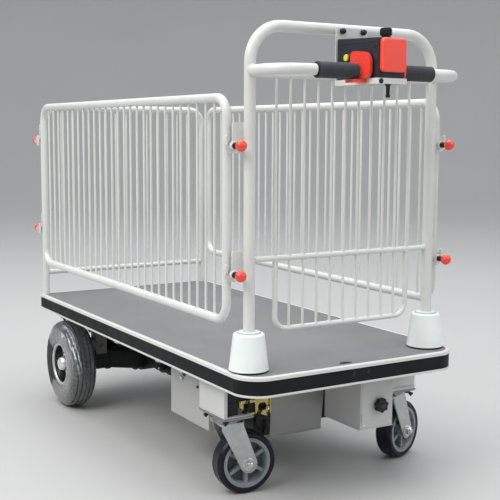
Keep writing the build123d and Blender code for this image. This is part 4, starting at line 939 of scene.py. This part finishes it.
# sealed unit inside the open mount
n8 = Piece("mount_unit", "black", "chassis", bevel=1.2)
n8.box((-268.5, -503.0, 199.6), (-236.0, -400.0, 311.0))
n8.box((-266.0, -504.2, 226.0), (-238.0, -501.0, 229.0))
n8.box((-266.0, -504.2, 276.0), (-238.0, -501.0, 279.0))
n8.box((-236.6, -492.0, 206.0), (-233.6, -478.0, 300.0))
n8.box((-262.0, -503.8, 236.0), (-243.0, -501.0, 268.0))
n8.done()
n9 = Piece("mount_unit_bolts", "black_steel", "chassis", angle=35)
for z in (212, 292):
    for x in (-262, -242):
        n9.lathe([(0, 3.0), (1.0, 2.9), (1.6, 1.9), (1.0, 1.2), (1.0, 0)], (x, -503.0, z), (0, -1, 0), n=16)
n9.done()
# fold line and stiffening lip on the mounts
n5 = Piece("mount_lips", "paint_mount", "chassis", bevel=0.5)
for sx in (-1, 1):
    x0 = sx * 277.0
    n5.box((min(x0, x0 + sx * 0.8), -512, 198.2), (max(x0, x0 + sx * 0.8), -394, 201.2))
n5.box((203.4, -513.6, 196.2), (276.6, -512.0, 204.0))
n5.box((203.4, -513.0, 205.0), (276.6, -512.0, 206.2))
n5.done()
# black patch inside the slot: painted shade
n6 = Piece("mount_slot_shade", "shade_black", "chassis", bevel=0.2)
n6.box((226.4, -511.6, 304.8), (241.6, -509.4, 313.2))
n6.done()

for side, kx, ang in (("left", -240, -6.8), ("right", 240, 19.2)):
    tx, ty = math.cos(math.radians(ang)), math.sin(math.radians(ang))
    ad = Vector((ty, -tx, 0))
    mid = Vector((kx + TRAIL * tx, -456 + TRAIL * ty, 73.5))
    king = Vector((kx, -456, 0))
    body = f"caster_{side}"
    a = Piece(f"axle_nuts_{side}", "bright", body, bevel=0.25)
    f = Piece(f"fork_lips_{side}", "zinc", body, angle=60)
    for sn in (-1, 1):
        ax = ad * sn
        a.lathe([(31.0, 15.0), (32.6, 15.0), (33.0, 14.4), (33.0, 0)], mid, ax, n=36)
        a.hex(mid + ax * 33.0, ax, 11.4, 7.4, ref=(0, 0, 1))
        a.lathe([(40.0, 8.6), (42.4, 8.0), (44.2, 6.0), (45.2, 3.0), (45.5, 0)], mid, ax, n=28)
        # washer plate under the nut and the folded shoulder at the crown
        out = 31.0

        def leg(u, v, ax=ax):
            return king + Vector((tx, ty, 0)) * u + ax * out + Vector((0, 0, v))
        turned(f, [(31.0, 12.0), (32.2, 12.0), (32.2, 17.6), (31.8, 18.2), (31.0, 18.2)], mid, ax, n=40)
        f.tube([leg(-20, 175.0), leg(0, 175.6), leg(26, 175.0)], 1.6, n=8, smooth=3)
    a.done()
    f.done()
    s = Piece(f"swivel_seal_{side}", "zinc_dull", body, angle=40)
    turned(s, [(176.4, 31.8), (176.4, 33.6), (178.0, 34.4), (182.6, 34.0), (184.2, 32.6), (184.2, 31.8)],
           (kx, -456, 0), n=48)
    s.done()
    wb = f"caster_{side}_wheel"
    v = Piece(f"rim_pocket_shade_{side}", "rim_web_shade", wb, angle=40)
    q = Piece(f"rim_bearings_{side}", "bright", wb, angle=40)
    t = Piece(f"tread_lines_{side}", "caster_tyre", wb, angle=180)
    for sn in (-1, 1):
        ax = ad * sn
        # dark discs on the web: painted shade in the rim's pockets
        turned(v, [(2.1, 21.0), (2.6, 21.0), (2.6, 46.0), (2.1, 46.0)], mid, ax, n=48)
        turned(q, [(24.0, 6.3), (24.0, 12.4), (26.4, 12.2), (26.6, 10.8), (26.6, 6.3)], mid, ax, n=32)
        for rr in (61.4, 65.4):
            t.ring(mid + ax * 21.9, ax, rr, 0.45, n=72, m=6)
        t.ring(mid + ax * 10.0, ax, 73.18, 0.28, n=72, m=6)
        for k in range(12):
            aa = math.radians(30 * k + 15)
            up_ = Vector((0, 0, 1)) * math.cos(aa) + Vector((tx, ty, 0)) * math.sin(aa)
            if k % 2:
                q.lathe([(0, 1.3), (0.5, 1.2), (0.8, 0.7), (0.9, 0)], mid + up_ * 55.0 + ax * 21.0, ax, n=10)
    v.done()
    q.done()
    t.done()

# ---------------------------------------------------------------------------
# rear wheels
# ---------------------------------------------------------------------------
HALF = [(30.6, 67.4), (33.0, 63.2), (36.9, 63.0), (37.8, 64.0), (38.4, 68.0), (38.9, 72.5), (39.3, 77.0), (39.0, 80.5), (39.4, 82.0), (39.45, 92.0),
        (39.4, 100.0), (38.9, 106.0), (37.6, 111.5), (36.2, 113.6), (35.9, 115.6), (34.0, 119.6), (31.4, 123.4), (28.6, 126.0), (27.4, 126.9),
        (27.0, 124.4), (24.2, 124.8), (23.8, 128.7), (20.6, 129.7), (17.4, 130.3), (14.4, 130.7), (14.0, 128.0), (11.4, 128.1),
        (11.0, 131.0), (7.5, 131.3), (4.0, 131.5), (1.8, 131.5), (1.5, 129.4), (0.0, 129.4)]
SECT = HALF + [(-x, r) for x, r in reversed(HALF[:-1])]


def rear_tyre(side, sx):
    n = 300
    c = Vector((sx * 275, 446, 132))
    m = len(SECT)
    bm = bmesh.new()
    lay = bm.verts.layers.float.new("film")
    rows = []
    for k in range(n):
        a = 2 * math.pi * k / n
        cy, cz = math.cos(a), math.sin(a)     # cy > 0 away from the handle
        row = []
        for j, (x, r) in enumerate(SECT):
            outer = x > 31.0 and r < 117.0
            film = 1.0
            if outer:
                e = max(-cy - 0.05, abs(cz + 0.06) - 0.70 - 0.4 * max(0.0, (80.0 - r) * 0.02))
                e += 0.22 * noise.noise(Vector((cy * 3.1, cz * 3.1, sx * 5.0))) + 0.08 * noise.noise(Vector((cy * 11.0, cz * 11.0, r * 0.1)))
                film = min(1.0, max(0.0, (e + 0.05) / 0.10))
            # sipes across the ribs and shoulder blocks
            dr = 0.0
            if r > 119.0 and abs(x) > 27.3:
                dr -= 1.8 if (k % 6) in (0, 1) else 0.0
            elif r > 125.0:
                kk = k + (3 if abs(x) < 12 else 0)
                dr -= 1.2 if (kk % 6) == 0 else 0.0
            dx = 0.0
            if film > 0:
                crease = noise.noise(Vector((x * 0.16, cy * 2.6, cz * 2.6 + sx))) * 0.9 \
                    + noise.noise(Vector((x * 0.42, cy * 6.0, cz * 6.0))) * 0.35
                dr = dr * (1 - 0.55 * film) - film * (0.2 + abs(crease) * 1.1)
                if r < 112:
                    dr, dx = 0.0, -film * abs(crease) * 0.8
            rr = r + min(0.0, dr)
            xx = (abs(x) + dx) * (1 if x >= 0 else -1)
            vert = bm.verts.new(P(*(c + Vector((sx * xx, cy * rr, cz * rr)))))
            vert[lay] = film
            row.append(vert)
        rows.append(row)
    for k in range(n):
        a, b = rows[k], rows[(k + 1) % n]
        for j in range(m - 1):
            bm.faces.new((a[j], a[j + 1], b[j + 1], b[j]))
        bm.faces.new((a[m - 1], a[0], b[0], b[m - 1]))
    bmesh.ops.recalc_face_normals(bm, faces=bm.faces[:])
    me = bpy.data.meshes.new(f"tyre_rear_{side}")
    bm.to_mesh(me)
    bm.free()
    me.polygons.foreach_set("use_smooth", [True] * len(me.polygons))
    me.set_sharp_from_angle(angle=math.radians(52))
    ob = bpy.data.objects.new(f"tyre_rear_{side}", me)
    bpy.context.scene.collection.objects.link(ob)
    me.materials.append(M["film_tyre"])
    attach(ob, f"rear_wheel_{side}")
    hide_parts(f"rear_tyre_{side}")


for side, sx in (("left", -1), ("right", 1)):
    rear_tyre(side, sx)
    c = Vector((sx * 275, 446, 132))
    wb = f"rear_wheel_{side}"
    h = Piece(f"rear_hub_{side}", "rim_silver", wb, angle=50)
    # spun hub cap with a rounded end
    h.lathe([(4.6, 28.2), (7.0, 27.6), (14.0, 25.0), (21.0, 23.0), (28.0, 21.0), (33.0, 19.4), (36.4, 17.6), (38.2, 14.8),
             (39.0, 10.0), (39.2, 4.0), (39.2, 0)], c, (sx, 0, 0), n=64)
        # four spokes, raised from the web
    for k in range(4):
        a = math.radians(90 * k - 24)
        u = Vector((0, math.cos(a), math.sin(a)))
        v = Vector((0, -math.sin(a), math.cos(a)))
        h.prism([(21, -10.5), (40, -8.0), (56.5, -11.0), (56.5, 11.0), (40, 8.0), (21, 10.5)],
                c + Vector((sx * 4.4, 0, 0)), u, v, 13.6 * sx)
    h.done()
    h = Piece(f"rear_lip_{side}", "rim_satin", wb, angle=60)
    turned(h, [(31.4, 57.6), (32.0, 56.6), (34.4, 56.9), (36.4, 58.6), (37.5, 60.6), (37.6, 62.0), (37.0, 63.2),
               (34.0, 63.4), (33.4, 58.4)], c, (sx, 0, 0), n=96)
    h.done()
    h = Piece(f"rear_nut_{side}", "bright", wb, bevel=0.3)
    for k in range(4):
        a = math.radians(90 * k + 21)
        o = c + Vector((sx * 4.8, 33 * math.cos(a), 33 * math.sin(a)))
        h.hex(o, (sx, 0, 0), 4.6, 3.6)
        h.lathe([(0, 2.4), (5.6, 2.4), (6.0, 2.0), (6.0, 0)], o, (sx, 0, 0), n=14)
    h.done()
    # dark disc behind the rim windows: painted shadow seen through them
    h = Piece(f"rear_window_shadow_{side}", "shade_black", wb, angle=60)
    turned(h, [(-22.0, 26.0), (-22.0, 54.5), (-20.8, 54.5), (-20.8, 26.0)], c, (sx, 0, 0), n=64)
    h.done()
    h = Piece(f"valve_{side}", "black", wb, angle=50)
    va = Vector((0, math.cos(2.2), math.sin(2.2)))
    h.tube([c + va * 56.5 + Vector((sx * 12, 0, 0)), c + va * 52.5 + Vector((sx * 20, 0, 0)),
            c + va * 50.5 + Vector((sx * 29, 0, 0))], 2.6, n=10, smooth=4)
    h.lathe([(0, 3.3), (7.0, 3.2), (7.8, 2.4), (7.8, 0)], c + va * 50.2 + Vector((sx * 28, 0, 0)), (sx, 0, 0), n=14)
    h.done()

# ---------------------------------------------------------------------------
# axle and motor
# ---------------------------------------------------------------------------
a = Piece("motor_fins", "black", "chassis", bevel=0.4)
for k in range(13):
    x = 14 + k * 8.4
    turned(a, [(x, 69.5), (x, 72.6), (x + 2.6, 72.6), (x + 2.6, 69.5)], (0, 345, 150), (1, 0, 0), n=72)
a.done()
a = Piece("drive_bolts", "bright", "chassis", bevel=0.3)
for k in range(8):
    t = math.radians(45 * k + 20)
    a.hex((-31.0, 345 + 44 * math.cos(t), 150 + 44 * math.sin(t)), (-1, 0, 0), 4.6, 4.0) if k not in (0, 7, 1) else None
    a.hex((128.0, 345 + 62 * math.cos(t), 150 + 62 * math.sin(t)), (1, 0, 0), 4.4, 4.0)
a.done()
a = Piece("bracket_bolts", "bracket_paint_shaded", "chassis", bevel=0.3)
for sx in (-1, 1):
    for yy in (434, 458):
        for zz in (196, 250, 296):
            a.hex((sx * 200.0, yy, zz), (sx, 0, 0), 6.2, 5.0)
        a.hex((sx * 182.0, 424.9, 176 if yy < 440 else 286), (0, -1, 0), 6.0, 5.0)
a.done()
a = Piece("axle_clamps", "paint_dark", "chassis", bevel=0.5)
for sx in (-1, 1):
    for x in (156, 206):
        turned(a, [(x - 5, 29.0), (x - 5, 33.6), (x + 5, 33.6), (x + 5, 29.0)], (0 if sx > 0 else 0, 446, 132), (sx, 0, 0), n=48)
    turned(a, [(60.5, 42.6), (60.5, 47.5), (65.5, 47.5), (65.5, 42.0)], (0, 446, 132), (sx, 0, 0), n=56)
a.box((-150, 420, 168), (-60, 466, 172))
a.box((60, 420, 168), (150, 466, 172))
a.box((-150, 440, 184), (150, 466, 189))
a.box((-158, 430, 214), (158, 466, 222))
a.box((-158, 436, 252), (158, 466, 262))
a.done()
a = Piece("spring_packs", "black_steel", "chassis", bevel=0.5)
for sx in (-1, 1):
    for k, half in enumerate((62, 50, 38)):
        x0, x1 = sx * 100 - 17, sx * 100 + 17
        a.box((x0, 446 - half * 0.5, 176 + k * 5.2), (x1, 446 + min(19.0, half * 0.5), 180.4 + k * 5.2))
a.done()

# stepped bracket between the drive and the side box
c = Piece("side_bracket", "paint_dark", "chassis", bevel=0.8)
c.box((-190, -138.5, 232), (-172, -104, 256))
c.box((-190, -108, 244), (-172, -66, 266))
c.box((-190, -70, 256), (-172, -20, 284))
c.done()
c = Piece("side_bracket_bolts", "black_steel", "chassis", bevel=0.3)
for y, z in ((-122, 244), (-86, 256), (-46, 268)):
    c.hex((-190, y, z), (-1, 0, 0), 5.0, 4.0)
c.done()

# ---------------------------------------------------------------------------
# boxes under the deck
# ---------------------------------------------------------------------------
q = Piece("battery_seams", "battery_paint_shaded", "chassis", bevel=0.35)
# lid flange and base fold of the battery box
q.box((-80.2, -405.0, 296.0), (84.2, -119.2, 298.4))
q.box((-80.0, -391.4, 91.0), (76.2, -119.2, 93.0))
q.done()
q = Piece("box_seams", "paint_box", "chassis", bevel=0.35)
# lid and fold lines of the side box
q.box((-225.0, -343.0, 292.0), (-151.0, -137.0, 294.4))
q.box((-225.0, -343.0, 118.2), (-151.0, -137.0, 120.0))
q.done()
q = Piece("knob_door", "paint_light", "chassis", bevel=0.5)
q.prism([(50, 146), (139, 146), (139, 306), (50, 306)], (0, -590.2, 0), (1, 0, 0), (0, 0, 1), 0.9)
q.box((45.2, -591.0, 141.5), (143.8, -444.2, 143.4))
for z in (170, 276):
    q.lathe([(-9, 2.6), (9, 2.6)], (50.0, -591.6, z), (0, 0, 1), n=14)
q.done()
q = Piece("box_screws", "bright", "chassis", angle=35)
for y in (-330, -240, -150):
    q.lathe([(0, 4.2), (1.0, 4.0), (1.8, 2.8), (1.2, 1.6), (1.2, 0)], (-224.2, y, 286), (-1, 0, 0), n=18)
for x in (-66, 0, 66):
    q.lathe([(0, 4.2), (1.0, 4.0), (1.8, 2.8), (1.2, 1.6), (1.2, 0)], (x, -403.6, 288), (0, -1, 0), n=18)
for x in (56, 133):
    for z in (152, 300):
        q.lathe([(0, 3.4), (0.9, 3.2), (1.5, 2.2), (0.9, 1.4), (0.9, 0)], (x, -591.0, z), (0, -1, 0), n=16)
# hanger strap and bolt at the side box's upper edge
q.hex((-224.2, -201, 219), (-1, 0, 0), 6.2, 4.6)
q.lathe([(0, 8.4), (1.2, 8.4), (1.2, 0)], (-224.0, -201, 219), (-1, 0, 0), n=22)
q.done()
q = Piece("side_bolt", "black_steel", "chassis", bevel=0.25)
q.hex((-224.2, -287, 214), (-1, 0, 0), 4.0, 3.0)
q.done()
q = Piece("side_strap", "zinc_dull", "chassis", bevel=0.5)
q.prism([(-228, 238), (-204, 212), (-190, 218), (-188, 252), (-228, 252)], (-224.0, 0, 0), (0, 1, 0), (0, 0, 1), -2.2)
q.done()
# star knob: centre plug and stem
q = Piece("star_plug", "black_gloss", "chassis", angle=40)
q.lathe([(0, 7.2), (0.9, 7.0), (1.4, 5.6), (1.5, 0)], (100, -606.9, 198.5), (0, -1, 0), n=28)
turned(q, [(0, 8.2), (0, 10.6), (1.2, 10.4), (1.2, 8.2)], (100, -590.2, 198.5), (0, -1, 0), n=30)
q.done()

# relay units: housings, terminals, bolts and leads
q = Piece("relay_blocks", "black", "chassis", bevel=0.8)
q.box((-158, -396.4, 168), (-134, -393.6, 186))
q.box((-199, -396.6, 204), (-176, -393.6, 250))
q.box((-168, -397.2, 206), (-128, -393.6, 262))
q.box((-122, -397.0, 204), (-88, -393.6, 258))
q.box((-126, -396.2, 104), (-86, -393.6, 150))
q.box((112, -322.0, 110), (188, -319.6, 180))
q.box((112, -322.0, 190), (188, -319.6, 250))
q.done()
q = Piece("relay_terminals", "bright", "chassis", bevel=0.25)
q.hex((-93.5, -399.0, 170.5), (0, -1, 0), 6.4, 5.0)
q.lathe([(0, 3.4), (8.0, 3.4), (8.5, 2.8), (8.5, 0)], (-93.5, -399.0, 170.5), (0, -1, 0), n=16)
q.hex((-167, -399.0, 193), (0, -1, 0), 3.2, 2.6)
q.hex((-167, -399.0, 162), (0, -1, 0), 3.2, 2.6)
q.hex((-131, -399.0, 193), (0, -1, 0), 3.0, 2.6)
q.done()
q = Piece("plated_strips", "gold", "chassis", bevel=0.4)
q.box((-87.6, -404.6, 156), (-84.2, -394, 198))
q.box((-129, -400.6, 186), (-88, -398.8, 199))
q.prism([(-126, 160), (-119, 160), (-92, 150), (-92, 158), (-118, 168), (-126, 168)], (0, -394.2, 0), (1, 0, 0), (0, 0, 1), 5.0)
q.done()
c = Piece("relay_leads", "cable", "chassis", angle=180)
c.tube([(-106, -398, 176), (-112, -404, 168), (-120, -402, 152), (-122, -398, 136), (-110, -397, 118)], 2.6, n=8)
c.tube([(-148, -398, 176), (-150, -404, 184), (-146, -403, 200), (-150, -399, 214)], 2.4, n=8)
c.tube([(-98, -398, 140), (-96, -403, 128), (-100, -401, 114), (-98, -397, 104)], 3.0, n=8)
c.done()

# thin black line where the mat meets the rim: painted shade in the joint
def rounded_path(inset, rn, rf, z, seg=10):
    w, y0, y1 = 300 - inset, -650 + inset, 650 - inset
    rn, rf = rn - inset, max(1.5, rf - inset)
    pts = []
    for cx, cy, r, a0 in ((w - rf, y1 - rf, rf, 0), (-w + rf, y1 - rf, rf, 90), (-w + rn, y0 + rn, rn, 180), (w - rn, y0 + rn, rn, 270)):
        for k in range(seg + 1):
            t = math.radians(a0 + 90 * k / seg)
            pts.append((cx + r * math.cos(t), cy + r * math.sin(t), z))
    return pts


q = Piece("mat_edge_shade", "black", "chassis", angle=180)
q.tube(rounded_path(10.6, 62, 12, 319.3), 0.75, n=6, closed=True, smooth=1)
q.done()

# ---------------------------------------------------------------------------
# stage and light
# ---------------------------------------------------------------------------
def stage_material():
    m = Mat("stage_pale")
    c = (0.47, 0.467, 0.460)
    col = m.mix(m.rng(m.noise(0.8, 4, 0.5), 0.3, 0.7), scale_c(c, 0.985), scale_c(c, 1.015))
    return m.finish(col, 0.75, 0.0, m.bump(m.noise(260.0, 3), 0.05, 0.0005), Specular_IOR_Level=0.2)


bm = bmesh.new()
prof = [(0.0, 0.0), (3.0, 0.0), (7.5, 0.0), (9.0, 0.12), (10.2, 0.55), (11.2, 1.4), (11.8, 2.6), (12.0, 4.2), (12.0, 6.5)]
N_ST = 96
rows = []
for r, h in prof:
    if r == 0:
        rows.append([bm.verts.new((0, 0, h - 0.0002))])
    else:
        rows.append([bm.verts.new((r * math.cos(2 * math.pi * k / N_ST), r * math.sin(2 * math.pi * k / N_ST), h - 0.0002))
                     for k in range(N_ST)])
for a, b in zip(rows, rows[1:]):
    for k in range(N_ST):
        k2 = (k + 1) % N_ST
        if len(a) == 1:
            bm.faces.new((a[0], b[k], b[k2]))
        else:
            bm.faces.new((a[k], b[k], b[k2], a[k2]))
me = bpy.data.meshes.new("stage")
bm.to_mesh(me)
bm.free()
me.polygons.foreach_set("use_smooth", [True] * len(me.polygons))
stage = bpy.data.objects.new("stage", me)
bpy.context.scene.collection.objects.link(stage)
me.materials.append(stage_material())

world = bpy.data.worlds.new("studio")
bpy.context.scene.world = world
world.use_nodes = True
bg = world.node_tree.nodes["Background"]
bg.inputs[0].default_value = (0.93, 0.96, 1.0, 1)
bg.inputs[1].default_value = 0.9


def area(name, loc, target, size, power, color=(1, 1, 1)):
    d = bpy.data.lights.new(name, "AREA")
    d.shape = "RECTANGLE"
    d.size, d.size_y = size
    d.energy = power
    d.color = color
    ob = bpy.data.objects.new(name, d)
    bpy.context.scene.collection.objects.link(ob)
    ob.location = loc
    ob.rotation_mode = "QUATERNION"
    ob.rotation_quaternion = (Vector(target) - Vector(loc)).to_track_quat("-Z", "Y")
    return ob


area("key", (-4.0, -0.9, 4.2), (0, 0, 0.4), (3.4, 3.0), 170, (1.0, 0.985, 0.96))
area("fill", (2.6, -4.0, 3.0), (0, 0, 0.5), (3.5, 3.0), 54, (0.95, 0.98, 1.0))
area("top", (0.2, 0.6, 5.0), (0, 0, 0.2), (5.0, 5.0), 178, (0.97, 0.99, 1.0))

vs = bpy.context.scene.view_settings
vs.view_transform = "Standard"
vs.look = "None"
vs.exposure = 0.0
vs.gamma = 1.0
